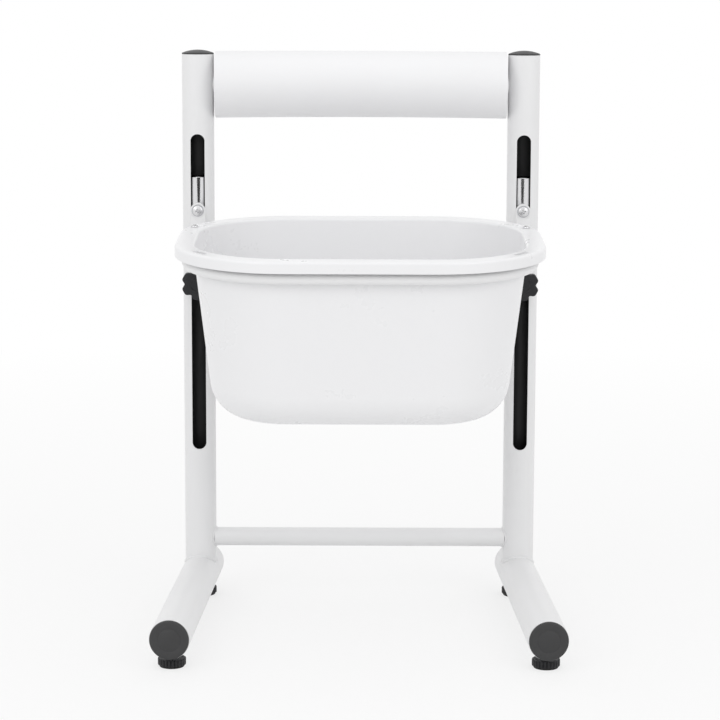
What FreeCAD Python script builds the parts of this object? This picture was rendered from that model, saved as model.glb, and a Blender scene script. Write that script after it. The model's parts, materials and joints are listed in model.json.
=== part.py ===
import FreeCAD, Part
import math
import os

import Sketcher

# Height-adjustable bathing tub on a free-standing two-post frame.
#
# Millimetres, +Z up, the user stands on the -Y side. The pieces are laid out with the post axes in
# the plane Y = 0, and seat_on_origin() then puts the middle of the whole footprint on the origin.
# "Left" and "right" are as the user sees them. The tub and the hoop that carries it are drawn level
# in a frame of their own, whose origin is the middle of the rim's rear edge, and are then sloped.

SIZES = [
    # frame
    ("stand_height", 900.0, "floor to the top of the post caps"),
    ("post_spacing", 520.0, "between the two post axes"),
    ("post_diameter", 50.8, "outside of a post tube"),
    ("post_wall", 2.0, "post tube wall"),
    ("post_cap_rim", 2.0, "straight edge of a post cap"),
    ("post_cap_dome", 5.0, "rise of a post cap's dome"),
    ("post_cap_plug", 15.0, "length of a post cap inside the post"),
    ("slot_width", 22.6, "slot down the front of a post"),
    ("slot_bottom", 257.0, "height of the slot's lower end"),
    ("slot_top", 767.0, "height of the slot's upper end"),
    ("liner_wall", 2.4, "plastic liner inside a post"),
    ("liner_margin", 60.0, "liner beyond each end of the slot"),
    ("foot_diameter", 60.3, "outside of a foot tube"),
    ("foot_wall", 2.0, "foot tube wall"),
    ("foot_clearance", 1.15, "insert's lower end to the underside of a foot tube"),
    ("foot_front_reach", 425.0, "post axis to the front end of a foot tube"),
    ("foot_rear_reach", 70.0, "post axis to the rear end of a foot tube"),
    ("foot_splay", 2.7, "degrees that a foot points outwards"),
    ("foot_cap_edge", 5.0, "thickness of a foot cap outside its tube"),
    ("foot_cap_plug", 14.0, "length of a foot cap inside its tube"),
    ("foot_cap_inset", 0.7, "foot cap smaller than its tube, all round"),
    ("foot_cap_round", 2.5, "rounding of a foot cap's outer edge"),
    ("crossbar_diameter", 30.0, "lower crossbar"),
    ("crossbar_wall", 2.0, "lower and upper crossbar walls"),
    ("crossbar_height", 107.0, "floor to the lower crossbar's axis"),
    ("roll_diameter", 106.0, "roll over the upper crossbar"),
    ("roll_height", 844.5, "floor to the roll's axis"),
    ("roll_bow", 38.0, "how far the middle of the roll stands back"),
    ("roll_end_gap", 2.5, "between the roll's end and the post"),
    ("roll_edge_round", 4.0, "rounding of the roll's end edges"),
    ("core_diameter", 32.0, "upper crossbar inside the roll"),
    # levelling feet
    ("leveller_setback", 31.0, "end of a foot tube to a levelling foot's axis"),
    ("pad_diameter", 42.0, "knurled pad of a levelling foot"),
    ("pad_height", 10.0, "thickness of the knurled pad"),
    ("pad_notch", 3.4, "diameter of one notch round the pad"),
    ("pad_notches", 24.0, "notches round the pad"),
    ("sole_diameter", 37.0, "rubber sole under the pad"),
    ("sole_height", 3.0, "thickness of the rubber sole"),
    ("pivot_diameter", 9.0, "pin of the pad that turns in the sole"),
    ("pivot_length", 2.0, "length of that pin"),
    ("spindle_diameter", 10.0, "threaded spindle of a levelling foot"),
    ("spindle_length", 30.0, "spindle above the pad"),
    ("insert_diameter", 18.0, "threaded insert in a foot tube"),
    ("insert_length", 24.0, "length of the insert"),
    ("lock_nut_flats", 17.0, "lock nut across its flats"),
    ("lock_nut_height", 3.6, "lock nut thickness"),
    # carriage
    ("slider_wall", 3.0, "wall of the slider tube inside a post"),
    ("slider_bottom", 508.0, "height of the slider's lower end"),
    ("slider_top", 698.5, "height of the slider's upper end"),
    ("strap_width", 24.0, "strap in front of the slot"),
    ("strap_thickness", 5.0, "strap thickness"),
    ("strap_bottom", 516.0, "height of the strap's lower end"),
    ("screw_height", 645.5, "floor to the strap screw's axis"),
    ("screw_diameter", 8.0, "strap screw's shank"),
    ("screw_head_diameter", 17.0, "strap screw's pan head"),
    ("screw_head_height", 5.0, "height of that head"),
    ("screw_nut_flats", 13.0, "nut behind the strap screw, across flats"),
    ("screw_nut_height", 6.5, "thickness of that nut"),
    ("knob_height", 530.0, "floor to the star knob's axis"),
    ("knob_diameter", 50.0, "star knob over its lobes"),
    ("knob_thickness", 19.0, "star knob's head"),
    ("knob_lobes", 6.0, "lobes of the star knob"),
    ("knob_scallop", 24.0, "diameter of the hollow between two lobes"),
    ("knob_scallop_depth", 5.0, "depth of that hollow"),
    ("knob_hub_diameter", 24.0, "hub behind the star"),
    ("knob_hub_length", 8.0, "length of the hub"),
    ("knob_edge_round", 2.0, "rounding of the star's front edge"),
    ("stud_diameter", 10.0, "star knob's threaded stud"),
    ("stud_in_knob", 16.0, "stud length held in the knob"),
    ("stud_reach", 27.0, "stud length behind the hub"),
    ("washer_diameter", 20.0, "washer between knob and strap"),
    ("washer_thickness", 1.6, "thickness of that washer"),
    ("clamp_nut_flats", 17.0, "clamp nut in the slider, across flats"),
    ("clamp_nut_height", 8.0, "thickness of the clamp nut"),
    # tub
    ("rim_depth", 435.0, "tub rim, front to back"),
    ("rim_corner", 167.0, "plan radius of the rim's corners"),
    ("rim_flange", 26.0, "rim edge to the outside of the tub wall"),
    ("rim_skirt", 17.5, "depth of the lip round the rim"),
    ("rim_edge_round", 4.5, "rounding of the rim's outer edge"),
    ("rim_inner_round", 4.0, "rounding of the rim's inner edge"),
    ("rim_slope", 3.2, "degrees that the rim falls to the front"),
    ("rim_rear_height", 639.0, "floor to the rim's rear edge"),
    ("rim_setback", 35.0, "post axes to the rim's rear edge"),
    ("tub_wall", 3.0, "wall of the tub"),
    ("tub_depth", 262.0, "rim to the underside of the tub"),
    ("tub_draft", 6.8, "degrees that the tub's sides draw in"),
    ("tub_bottom_round", 58.0, "rounding of the tub's bottom edge"),
    ("rim_slot_length", 34.0, "slot through the rim at a front corner"),
    ("rim_slot_width", 8.0, "width of that slot"),
    ("rim_slot_angle", 35.0, "degrees from the side to the slot"),
    # hoop under the rim
    ("hoop_diameter", 18.0, "tube of the support hoop"),
    ("hoop_wall", 1.5, "wall of that tube"),
    ("hoop_inset", 19.5, "rim edge to the hoop's centre line"),
    ("hoop_side_inset", 3.5, "post axis inwards to the hoop's centre line"),
    ("hoop_drop", 0.5, "lip of the rim to the top of the hoop"),
    ("rear_bar_inset", 18.0, "rim's rear edge to the hoop's rear bar"),
    ("lug_diameter", 12.0, "lugs that lift the rim off the hoop"),
    ("lug_side_back", 122.0, "rim's rear edge to the side lugs"),
    ("lug_front_offset", 90.0, "middle of the hoop to a front lug"),
    ("rim_screw_diameter", 6.0, "screws through the rim"),
    ("rim_screw_length", 14.0, "length under the head"),
    ("rim_screw_head_diameter", 12.0, "head of a rim screw"),
    ("rim_screw_head_height", 3.4, "height of that head"),
    # drain
    ("drain_bore", 38.0, "bore of the drain fitting"),
    ("drain_wall", 3.0, "wall of the drain fitting"),
    ("drain_flange_diameter", 66.0, "flange inside the tub"),
    ("drain_flange_thickness", 3.0, "thickness of that flange"),
    ("drain_length", 22.0, "drain fitting below the tub"),
    ("drain_nut_diameter", 62.0, "nut under the tub"),
    ("drain_nut_thickness", 8.0, "thickness of that nut"),
    ("drain_gasket_thickness", 2.0, "gasket between nut and tub"),
    ("stopper_diameter", 52.0, "head of the stopper"),
    ("stopper_thickness", 5.0, "thickness of that head"),
    ("stopper_plug", 12.0, "length of the stopper in the drain"),
    ("stopper_grip_diameter", 14.0, "finger grip on the stopper"),
    ("stopper_grip_height", 12.0, "height of that grip"),
    # fits
    ("press_gap", 0.1, "between pieces pressed, glued or welded together"),
    ("running_gap", 0.1, "radial gap of a shaft that turns or slides"),
    ("hole_gap", 0.4, "radial gap of a screw in its clearance hole"),
    ("seat_gap", 0.3, "between a piece and the seat that it rests on"),
]

SIDES = (("left", -1), ("right", 1))
ENDS = (("front", 1), ("rear", -1))
SAME_PLACE = 0.01  # two places nearer than this are one

doc = FreeCAD.newDocument("BathingTubStand")
sheet = doc.addObject("Spreadsheet::Sheet", "Sizes")
parts = {}


class Size:
    """A number that keeps the sheet formula that it came from."""

    def __init__(self, value, text):
        self.value = value
        self.text = text

    def __float__(self):
        return self.value

    def __neg__(self):
        return Size(-self.value, f"(-{self.text})")

    def __add__(self, other):
        other = sized(other)
        return Size(self.value + other.value, f"({self.text} + {other.text})")

    def __sub__(self, other):
        other = sized(other)
        return Size(self.value - other.value, f"({self.text} - {other.text})")

    def __mul__(self, other):
        other = sized(other)
        return Size(self.value * other.value, f"({self.text} * {other.text})")

    def __truediv__(self, other):
        other = sized(other)
        return Size(self.value / other.value, f"({self.text} / {other.text})")

    def __rsub__(self, other):
        return sized(other) - self

    __radd__ = __add__
    __rmul__ = __mul__


def sized(number):
    if isinstance(number, Size):
        return number
    return Size(float(number), repr(float(number)))


def other_leg(long_side, leg):
    """The third side of a right triangle, from its longest side and one leg."""
    square = long_side * long_side - leg * leg
    return Size(math.sqrt(square.value), f"sqrt({square.text})")


class Sheet:
    """The driving dimensions by name, each tied to its cell."""

    def __init__(self):
        for row, (alias, value, note) in enumerate(SIZES, start=1):
            sheet.set(f"A{row}", alias)
            sheet.set(f"B{row}", str(value))
            sheet.setAlias(f"B{row}", alias)
            sheet.set(f"C{row}", note)
            setattr(self, alias, Size(value, f"Sizes.{alias}"))
        doc.recompute()


s = Sheet()

# Places that several pieces share.
POST_X = s.post_spacing / 2
POST_R = s.post_diameter / 2
POST_BORE = POST_R - s.post_wall
POST_TOP = s.stand_height - s.post_cap_rim - s.post_cap_dome - s.press_gap
FOOT_R = s.foot_diameter / 2
LOCK_NUT_LOW = s.sole_height + s.pad_height + s.seat_gap
INSERT_LOW = LOCK_NUT_LOW + s.lock_nut_height + s.seat_gap
FOOT_AXIS = INSERT_LOW + s.foot_clearance + FOOT_R
LINER_R = POST_BORE - s.press_gap
SLIDER_R = LINER_R - s.liner_wall - s.running_gap
SLIDER_BORE = SLIDER_R - s.slider_wall
BUSH_R = s.slot_width / 2 - s.seat_gap
STRAP_BACK = other_leg(POST_R, s.slot_width / 2) + s.seat_gap
STRAP_FRONT = STRAP_BACK + s.strap_thickness
HOOP_R = s.hoop_diameter / 2
HOOP_SIDE = POST_X - s.hoop_side_inset
RIM_HALF = HOOP_SIDE + s.hoop_inset
HOOP_FRONT = s.rim_depth - s.hoop_inset
HOOP_CORNER = s.rim_corner - s.hoop_inset
HOOP_DOWN = s.rim_skirt + s.hoop_drop + HOOP_R
TUB_MIDDLE = s.rim_depth / 2
ROLL_ARC = (POST_X * POST_X + s.roll_bow * s.roll_bow) / (2 * s.roll_bow)


# ---------------------------------------------------------------- helpers

def vector(x=0.0, y=0.0, z=0.0):
    return FreeCAD.Vector(float(x), float(y), float(z))


def placed(x=0.0, y=0.0, z=0.0, axis=(0, 0, 1), angle=0.0):
    turn = FreeCAD.Rotation(FreeCAD.Vector(*axis), float(angle))
    return FreeCAD.Placement(vector(x, y, z), turn)


TUB_FRAME = placed(0, -s.rim_setback, s.rim_rear_height, (1, 0, 0), s.rim_slope)
FACING_USER = FreeCAD.Rotation(FreeCAD.Vector(1, 0, 0), 90)


def keep(label, item):
    """Give a finished piece the name of its node."""
    item.Label = label
    parts[label] = item
    return item


def bind(item, **sizes):
    for name, size in sizes.items():
        item.setExpression(name, sized(size).text)


def cylinder(name, radius, height, placement=None):
    item = doc.addObject("Part::Cylinder", name)
    bind(item, Radius=radius, Height=height)
    if placement:
        item.Placement = placement
    return item


def box(name, length, width, height, placement=None):
    item = doc.addObject("Part::Box", name)
    bind(item, Length=length, Width=width, Height=height)
    if placement:
        item.Placement = placement
    return item


def hexagon(name, flats, height, placement):
    item = doc.addObject("Part::Prism", name)
    item.Polygon = 6
    bind(item, Circumradius=flats / math.sqrt(3), Height=height)
    item.Placement = placement
    return item


def cut(name, base, tool):
    item = doc.addObject("Part::Cut", name)
    item.Base = base
    item.Tool = tool
    return item


def fuse(name, items):
    item = doc.addObject("Part::MultiFuse", name)
    item.Shapes = items
    return item


def common(name, items):
    item = doc.addObject("Part::MultiCommon", name)
    item.Shapes = items
    return item


def group(name, items):
    """Identical pieces that stay separate solids in one node."""
    item = doc.addObject("Part::Compound", name)
    item.Links = items
    return item


def new_body(name):
    return doc.addObject("PartDesign::Body", name)


def sketch_on(body, role, name, turn=0.0):
    """A sketch on one of the body's own origin planes."""
    sketch = body.newObject("Sketcher::SketchObject", name)
    plane = next(item for item in body.Origin.OriginFeatures if item.Role == role)
    sketch.AttachmentSupport = [(plane, "")]
    sketch.MapMode = "FlatFace"
    if turn:
        sketch.AttachmentOffset = placed(angle=turn)
    return sketch


def dimension(sketch, kind, places, size):
    """A sketch dimension that follows its size in the sheet."""
    index = sketch.addConstraint(Sketcher.Constraint(kind, *places, float(size)))
    sketch.setExpression(f"Constraints[{index}]", sized(size).text)


def fix_point(sketch, place, x, y):
    for kind, axis, offset in (("DistanceX", -2, x), ("DistanceY", -1, y)):
        if float(offset) == 0.0:
            sketch.addConstraint(Sketcher.Constraint("PointOnObject", *place, axis))
        else:
            dimension(sketch, kind, (-1, 1) + place, offset)


def circle(sketch, radius, x=0.0, y=0.0):
    shape = Part.Circle(vector(x, y), FreeCAD.Vector(0, 0, 1), float(radius))
    index = sketch.addGeometry(shape)
    dimension(sketch, "Radius", (index,), radius)
    fix_point(sketch, (index, 3), x, y)


def outline(sketch, corners):
    """A closed outline of straight lines through the corners."""
    count = len(corners)
    first = sketch.GeometryCount
    for number in range(count):
        start, end = corners[number], corners[(number + 1) % count]
        sketch.addGeometry(Part.LineSegment(vector(*start), vector(*end)))
    for number in range(count):
        after = first + (number + 1) % count
        sketch.addConstraint(Sketcher.Constraint("Coincident", first + number, 2, after, 1))
        fix_point(sketch, (first + number, 1), *corners[number])


def rounded(sketch, half_width, rear, front, corner):
    """A rounded rectangle, the same left and right, from rear to front along -Y."""
    wide, back, fore, turn = (float(size) for size in (half_width, rear, front, corner))
    lines = [
        ((-wide, -fore + turn), (-wide, -back - turn)),
        ((-wide + turn, -back), (wide - turn, -back)),
        ((wide, -back - turn), (wide, -fore + turn)),
        ((wide - turn, -fore), (-wide + turn, -fore)),
    ]
    centres = [
        (-wide + turn, -back - turn, 90),
        (wide - turn, -back - turn, 0),
        (wide - turn, -fore + turn, 270),
        (-wide + turn, -fore + turn, 180),
    ]
    first = sketch.GeometryCount
    for (start, end), (x, y, degrees) in zip(lines, centres):
        ring = Part.Circle(vector(x, y), FreeCAD.Vector(0, 0, 1), turn)
        begin = math.radians(degrees)
        sketch.addGeometry(Part.LineSegment(vector(*start), vector(*end)))
        sketch.addGeometry(Part.ArcOfCircle(ring, begin, begin + math.pi / 2))
    for side in range(4):
        line, arc, following = first + 2 * side, first + 2 * side + 1, first + (2 * side + 2) % 8
        upright = side % 2 == 0
        sketch.addConstraint(Sketcher.Constraint("Tangent", line, 2, arc, 2))
        sketch.addConstraint(Sketcher.Constraint("Tangent", arc, 1, following, 1))
        sketch.addConstraint(Sketcher.Constraint("Vertical" if upright else "Horizontal", line))
    for side in range(1, 4):
        sketch.addConstraint(Sketcher.Constraint("Equal", first + 1, first + 2 * side + 1))
    dimension(sketch, "Radius", (first + 1,), corner)
    for line, x in ((first, -half_width), (first + 4, half_width)):
        dimension(sketch, "DistanceX", (-1, 1, line, 1), x)
    for line, y in ((first + 2, -rear), (first + 6, -front)):
        if float(y) == 0.0:
            sketch.addConstraint(Sketcher.Constraint("PointOnObject", line, 1, -1))
        else:
            dimension(sketch, "DistanceY", (-1, 1, line, 1), y)


def slot(sketch, half_width, low, high):
    """An upright slot with half-round ends, low and high being its two tips."""
    wide, bottom, top = float(half_width), float(low + half_width), float(high - half_width)
    ends = ((bottom, math.pi, 2 * math.pi), (top, 0, math.pi))
    for y, begin, finish in ends:
        ring = Part.Circle(vector(0, y), FreeCAD.Vector(0, 0, 1), wide)
        sketch.addGeometry(Part.ArcOfCircle(ring, begin, finish))
    sketch.addGeometry(Part.LineSegment(vector(wide, bottom), vector(wide, top)))
    sketch.addGeometry(Part.LineSegment(vector(-wide, top), vector(-wide, bottom)))
    for one, one_end, other, other_end in ((0, 2, 2, 1), (2, 2, 1, 1), (1, 2, 3, 1), (3, 2, 0, 1)):
        sketch.addConstraint(Sketcher.Constraint("Tangent", one, one_end, other, other_end))
    sketch.addConstraint(Sketcher.Constraint("Vertical", 2))
    sketch.addConstraint(Sketcher.Constraint("PointOnObject", 0, 3, -2))
    dimension(sketch, "Radius", (0,), half_width)
    dimension(sketch, "DistanceY", (-1, 1, 0, 3), low + half_width)
    dimension(sketch, "DistanceY", (-1, 1, 1, 3), high - half_width)


def pad(body, sketch, length, draft=None, reverse=False):
    item = body.newObject("PartDesign::Pad", f"{sketch.Name}_pad")
    item.Profile = sketch
    item.Reversed = reverse
    bind(item, Length=length)
    if draft is not None:
        bind(item, TaperAngle=draft)
    doc.recompute()
    return item


def pocket(body, sketch, length, draft=None, reverse=False, both=False):
    before = body.Shape.Volume
    item = body.newObject("PartDesign::Pocket", f"{sketch.Name}_pocket")
    item.Profile = sketch
    item.Reversed = reverse
    item.Midplane = both
    bind(item, Length=length)
    if draft is not None:
        bind(item, TaperAngle=draft)
    doc.recompute()
    if not item.Shape.Volume < before:
        raise RuntimeError(f"{item.Name} removes nothing")
    return item


def round_edges(body, feature, radius, wanted):
    """Fillet the edges of a feature that the test picks out."""
    names = [f"Edge{number}" for number, edge in enumerate(feature.Shape.Edges, start=1)
             if wanted(edge)]
    if not names:
        raise RuntimeError(f"no edge to round on {feature.Name}")
    item = body.newObject("PartDesign::Fillet", f"{feature.Name}_round")
    item.Base = (feature, names)
    bind(item, Radius=radius)
    doc.recompute()
    return item


def around(body, feature, count, role="Z_Axis"):
    """Repeat a feature in a full circle about one of the body's axes."""
    axis = next(item for item in body.Origin.OriginFeatures if item.Role == role)
    item = body.newObject("PartDesign::PolarPattern", f"{feature.Name}_round_pattern")
    item.Originals = [feature]
    item.Axis = (axis, [""])
    item.Angle = 360
    bind(item, Occurrences=count)
    body.Tip = item
    doc.recompute()
    return item


def turned(name, profile):
    """A body turned about its Z axis from corners given as (radius, height)."""
    body = new_body(name)
    sketch = sketch_on(body, "XZ_Plane", f"{name}_profile")
    outline(sketch, profile)
    item = body.newObject("PartDesign::Revolution", f"{name}_turning")
    item.Profile = sketch
    item.ReferenceAxis = (sketch, ["V_Axis"])
    item.Angle = 360
    doc.recompute()
    return body


def at_height(height):
    """A test for edges that lie flat at one height of their body."""
    level = float(height)

    def wanted(edge):
        bounds = edge.BoundBox
        return abs(bounds.ZMin - level) < SAME_PLACE and abs(bounds.ZMax - level) < SAME_PLACE

    return wanted


def facing_user(x, reach, z):
    """A place in front of the posts whose Z axis points at the user."""
    return FreeCAD.Placement(vector(x, -reach, z), FACING_USER)


# ---------------------------------------------------------------- frame

def post_rod(name, sign, extra):
    """A solid the size of a post, thicker all round, to cut other pieces with."""
    return cylinder(name, POST_R + extra, s.stand_height, placed(sign * POST_X))


def foot_rod(name, sign, radius, front, rear, splay_sign):
    """A cylinder along a foot's axis, from its rear end to its front end."""
    place = placed(sign * POST_X, 0, FOOT_AXIS, (0, 0, 1), splay_sign * s.foot_splay)
    along = FreeCAD.Placement(vector(0, rear, 0), FACING_USER)
    return cylinder(name, radius, front + rear, place.multiply(along))


def post(side, sign):
    name = f"{side}_post"
    body = new_body(f"{name}_tube")
    section = sketch_on(body, "XY_Plane", f"{name}_section")
    circle(section, POST_R)
    circle(section, POST_BORE)
    pad(body, section, POST_TOP)
    opening = sketch_on(body, "XZ_Plane", f"{name}_slot")
    slot(opening, s.slot_width / 2, s.slot_bottom, s.slot_top)
    pocket(body, opening, s.post_diameter, reverse=True)
    body.Placement = placed(sign * POST_X)
    stump = box(f"{name}_stump", s.foot_diameter * 2, s.foot_diameter * 2, FOOT_AXIS,
                placed(sign * POST_X - s.foot_diameter, -s.foot_diameter))
    saddle = foot_rod(f"{name}_saddle", sign, FOOT_R + s.press_gap, s.foot_front_reach,
                      s.foot_rear_reach, sign)
    keep(name, cut(name, body, fuse(f"{name}_foot_room", [stump, saddle])))


def post_liner(side, sign):
    """The plastic sleeve that the slider runs in, with the same slot as its post."""
    name = f"{side}_post_liner"
    body = new_body(name)
    low = s.slot_bottom - s.liner_margin
    section = sketch_on(body, "XY_Plane", f"{name}_section")
    circle(section, LINER_R)
    circle(section, LINER_R - s.liner_wall)
    pad(body, section, s.slot_top + s.liner_margin - low)
    opening = sketch_on(body, "XZ_Plane", f"{name}_slot")
    slot(opening, s.slot_width / 2, s.liner_margin, s.slot_top - low)
    pocket(body, opening, s.post_diameter, reverse=True)
    body.Placement = placed(sign * POST_X, 0, low)
    keep(name, body)


def post_cap(side, sign):
    name = f"{side}_post_cap"
    plug_wall = s.post_wall
    plug = turned(f"{name}_plug", [
        (POST_BORE - s.press_gap - plug_wall, -s.post_cap_plug),
        (POST_BORE - s.press_gap, -s.post_cap_plug),
        (POST_BORE - s.press_gap, 0.0),
        (POST_BORE - s.press_gap - plug_wall, 0.0),
    ])
    head = cylinder(f"{name}_head", POST_R, s.post_cap_rim + s.post_cap_dome)
    dome_radius = (POST_R * POST_R + s.post_cap_dome * s.post_cap_dome) / (2 * s.post_cap_dome)
    ball = doc.addObject("Part::Sphere", f"{name}_ball")
    bind(ball, Radius=dome_radius)
    ball.Placement = placed(0, 0, s.post_cap_rim + s.post_cap_dome - dome_radius)
    dome = common(f"{name}_dome", [head, ball])
    cap = fuse(name, [plug, dome])
    cap.Placement = placed(sign * POST_X, 0, POST_TOP + s.press_gap)
    keep(name, cap)


def lower_crossbar():
    start = placed(-POST_X, 0, s.crossbar_height, (0, 1, 0), 90)
    bar = cylinder("lower_crossbar_bar", s.crossbar_diameter / 2, s.post_spacing, start)
    bore = cylinder("lower_crossbar_bore", s.crossbar_diameter / 2 - s.crossbar_wall,
                    s.post_spacing, start)
    rods = [post_rod(f"lower_crossbar_{side}_end", sign, s.press_gap) for side, sign in SIDES]
    room = fuse("lower_crossbar_room", [bore] + rods)
    keep("lower_crossbar", cut("lower_crossbar", bar, room))


def bowed_rod(name, radius):
    """A full ring whose rear stretch is the upper crossbar's bow between the posts."""
    item = doc.addObject("Part::Torus", name)
    bind(item, Radius1=ROLL_ARC, Radius2=radius)
    item.Placement = placed(0, s.roll_bow - ROLL_ARC, s.roll_height)
    return item


def between_posts(name, half_length):
    """A box round everything between two planes across X, near the posts."""
    return box(name, half_length * 2, s.roll_bow + s.roll_diameter * 2, s.roll_diameter * 2,
               placed(-half_length, -s.roll_diameter, s.roll_height - s.roll_diameter))


def upper_crossbar():
    """The bent tube that joins the posts and carries the roll."""
    ring = bowed_rod("upper_crossbar_ring", s.core_diameter / 2)
    bore = bowed_rod("upper_crossbar_bore", s.core_diameter / 2 - s.crossbar_wall)
    stretch = common("upper_crossbar_stretch", [ring, between_posts("upper_crossbar_room", POST_X)])
    rods = [post_rod(f"upper_crossbar_{side}_end", sign, s.press_gap) for side, sign in SIDES]
    room = fuse("upper_crossbar_cut", [bore] + rods)
    keep("upper_crossbar", cut("upper_crossbar", stretch, room))


def top_roll():
    half = POST_X - POST_R - s.roll_end_gap
    ring = bowed_rod("top_roll_ring", s.roll_diameter / 2)
    stretch = common("top_roll_stretch", [ring, between_posts("top_roll_room", half)])
    doc.recompute()
    rims = [number for number, edge in enumerate(stretch.Shape.Edges, start=1)
            if edge.BoundBox.XLength < SAME_PLACE]
    softened = doc.addObject("Part::Fillet", "top_roll_softened")
    softened.Base = stretch
    round_size = float(s.roll_edge_round)
    softened.Edges = [(number, round_size, round_size) for number in rims]
    bore = bowed_rod("top_roll_bore", s.core_diameter / 2 + s.seat_gap)
    keep("top_roll", cut("top_roll", softened, bore))


def leveller_places():
    """Name, side and place of each levelling foot's axis, under its foot tube."""
    reaches = {"front": float(s.foot_front_reach - s.leveller_setback),
               "rear": -float(s.foot_rear_reach - s.leveller_setback)}
    for side, sign in SIDES:
        foot = placed(sign * POST_X, angle=sign * s.foot_splay)
        for end, reach in reaches.items():
            yield f"{end}_{side}", foot.multVec(FreeCAD.Vector(0, -reach, 0))


def foot_tube(side, sign):
    name = f"{side}_foot_tube"
    reach = (s.foot_front_reach, s.foot_rear_reach)
    rod = foot_rod(f"{name}_rod", sign, FOOT_R, *reach, sign)
    bore = foot_rod(f"{name}_bore", sign, FOOT_R - s.foot_wall, *reach, sign)
    holes = [cylinder(f"{place}_insert_hole", s.insert_diameter / 2 + s.press_gap,
                      FOOT_AXIS, placed(spot.x, spot.y))
             for place, spot in leveller_places() if place.endswith(side)]
    keep(name, cut(name, rod, fuse(f"{name}_room", [bore] + holes)))


def foot_cap(side, sign, end, facing):
    """The plug in one end of a foot tube."""
    name = f"{end}_{side}_foot_cap"
    reach = s.foot_front_reach if end == "front" else s.foot_rear_reach
    bore = FOOT_R - s.foot_wall - s.press_gap
    edge = s.foot_cap_edge + s.press_gap
    body = turned(name, [
        (0.0, s.press_gap),
        (bore - s.foot_wall, s.press_gap),
        (bore - s.foot_wall, -s.foot_cap_plug),
        (bore, -s.foot_cap_plug),
        (bore, s.press_gap),
        (FOOT_R - s.foot_cap_inset, s.press_gap),
        (FOOT_R - s.foot_cap_inset, edge),
        (0.0, edge),
    ])
    round_edges(body, body.Tip, s.foot_cap_round, at_height(edge))
    foot = placed(sign * POST_X, 0, FOOT_AXIS, (0, 0, 1), sign * s.foot_splay)
    tip = FreeCAD.Placement(vector(0, -facing * reach), FACING_USER)
    if facing < 0:
        tip = FreeCAD.Placement(vector(0, reach), FreeCAD.Rotation(FreeCAD.Vector(1, 0, 0), -90))
    body.Placement = foot.multiply(tip)
    keep(name, body)


# ---------------------------------------------------------------- levelling feet

def foot_inserts():
    """Threaded barrels pressed into the foot tubes from below."""
    barrels = []
    for place, spot in leveller_places():
        where = placed(spot.x, spot.y, INSERT_LOW)
        barrel = cylinder(f"{place}_barrel", s.insert_diameter / 2, s.insert_length, where)
        thread = cylinder(f"{place}_barrel_thread", s.spindle_diameter / 2 + s.running_gap,
                          s.insert_length, where)
        barrels.append(cut(f"{place}_insert", barrel, thread))
    keep("foot_inserts", group("foot_inserts", barrels))


def lock_nuts():
    nuts = []
    for place, spot in leveller_places():
        where = placed(spot.x, spot.y, LOCK_NUT_LOW)
        nut = hexagon(f"{place}_hexagon", s.lock_nut_flats, s.lock_nut_height, where)
        thread = cylinder(f"{place}_nut_thread", s.spindle_diameter / 2 + s.running_gap,
                          s.lock_nut_height, where)
        nuts.append(cut(f"{place}_lock_nut", nut, thread))
    keep("lock_nuts", group("lock_nuts", nuts))


def levelling_pad(place, spot):
    """The knurled pad that is turned by hand, with its threaded spindle and pivot pin."""
    name = f"{place}_pad"
    body = new_body(name)
    disc = sketch_on(body, "XY_Plane", f"{name}_disc")
    circle(disc, s.pad_diameter / 2)
    pad(body, disc, s.pad_height)
    notch = sketch_on(body, "XY_Plane", f"{name}_notch")
    circle(notch, s.pad_notch / 2, s.pad_diameter / 2)
    around(body, pocket(body, notch, s.pad_height, reverse=True), s.pad_notches)
    spindle = sketch_on(body, "XY_Plane", f"{name}_spindle")
    circle(spindle, s.spindle_diameter / 2)
    pad(body, spindle, s.pad_height + s.spindle_length)
    pivot = sketch_on(body, "XY_Plane", f"{name}_pivot")
    circle(pivot, s.pivot_diameter / 2)
    pad(body, pivot, s.pivot_length, reverse=True)
    body.Placement = placed(spot.x, spot.y, s.sole_height)
    keep(name, body)


def levelling_sole(place, spot):
    """The rubber disc that stands still on the floor while the pad turns on it."""
    name = f"{place}_sole"
    top = s.sole_height - s.running_gap
    socket = s.pivot_diameter / 2 + s.running_gap
    floor = s.sole_height - s.pivot_length - s.running_gap
    body = turned(name, [
        (0.0, 0.0), (s.sole_diameter / 2, 0.0), (s.sole_diameter / 2, top),
        (socket, top), (socket, floor), (0.0, floor),
    ])
    body.Placement = placed(spot.x, spot.y)
    keep(name, body)


# ---------------------------------------------------------------- carriage

def slider(side, sign):
    """The tube that runs in a post and carries one side of the tub."""
    name = f"{side}_slider"
    body = new_body(name)
    section = sketch_on(body, "XY_Plane", f"{name}_section")
    circle(section, SLIDER_R)
    circle(section, SLIDER_BORE)
    pad(body, section, s.slider_top - s.slider_bottom)
    holes = sketch_on(body, "XZ_Plane", f"{name}_holes")
    circle(holes, s.screw_diameter / 2 + s.hole_gap, 0.0, s.screw_height - s.slider_bottom)
    circle(holes, s.stud_diameter / 2 + s.hole_gap, 0.0, s.knob_height - s.slider_bottom)
    pocket(body, holes, s.post_diameter, reverse=True)
    body.Placement = placed(sign * POST_X, 0, s.slider_bottom)
    keep(name, body)


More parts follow.
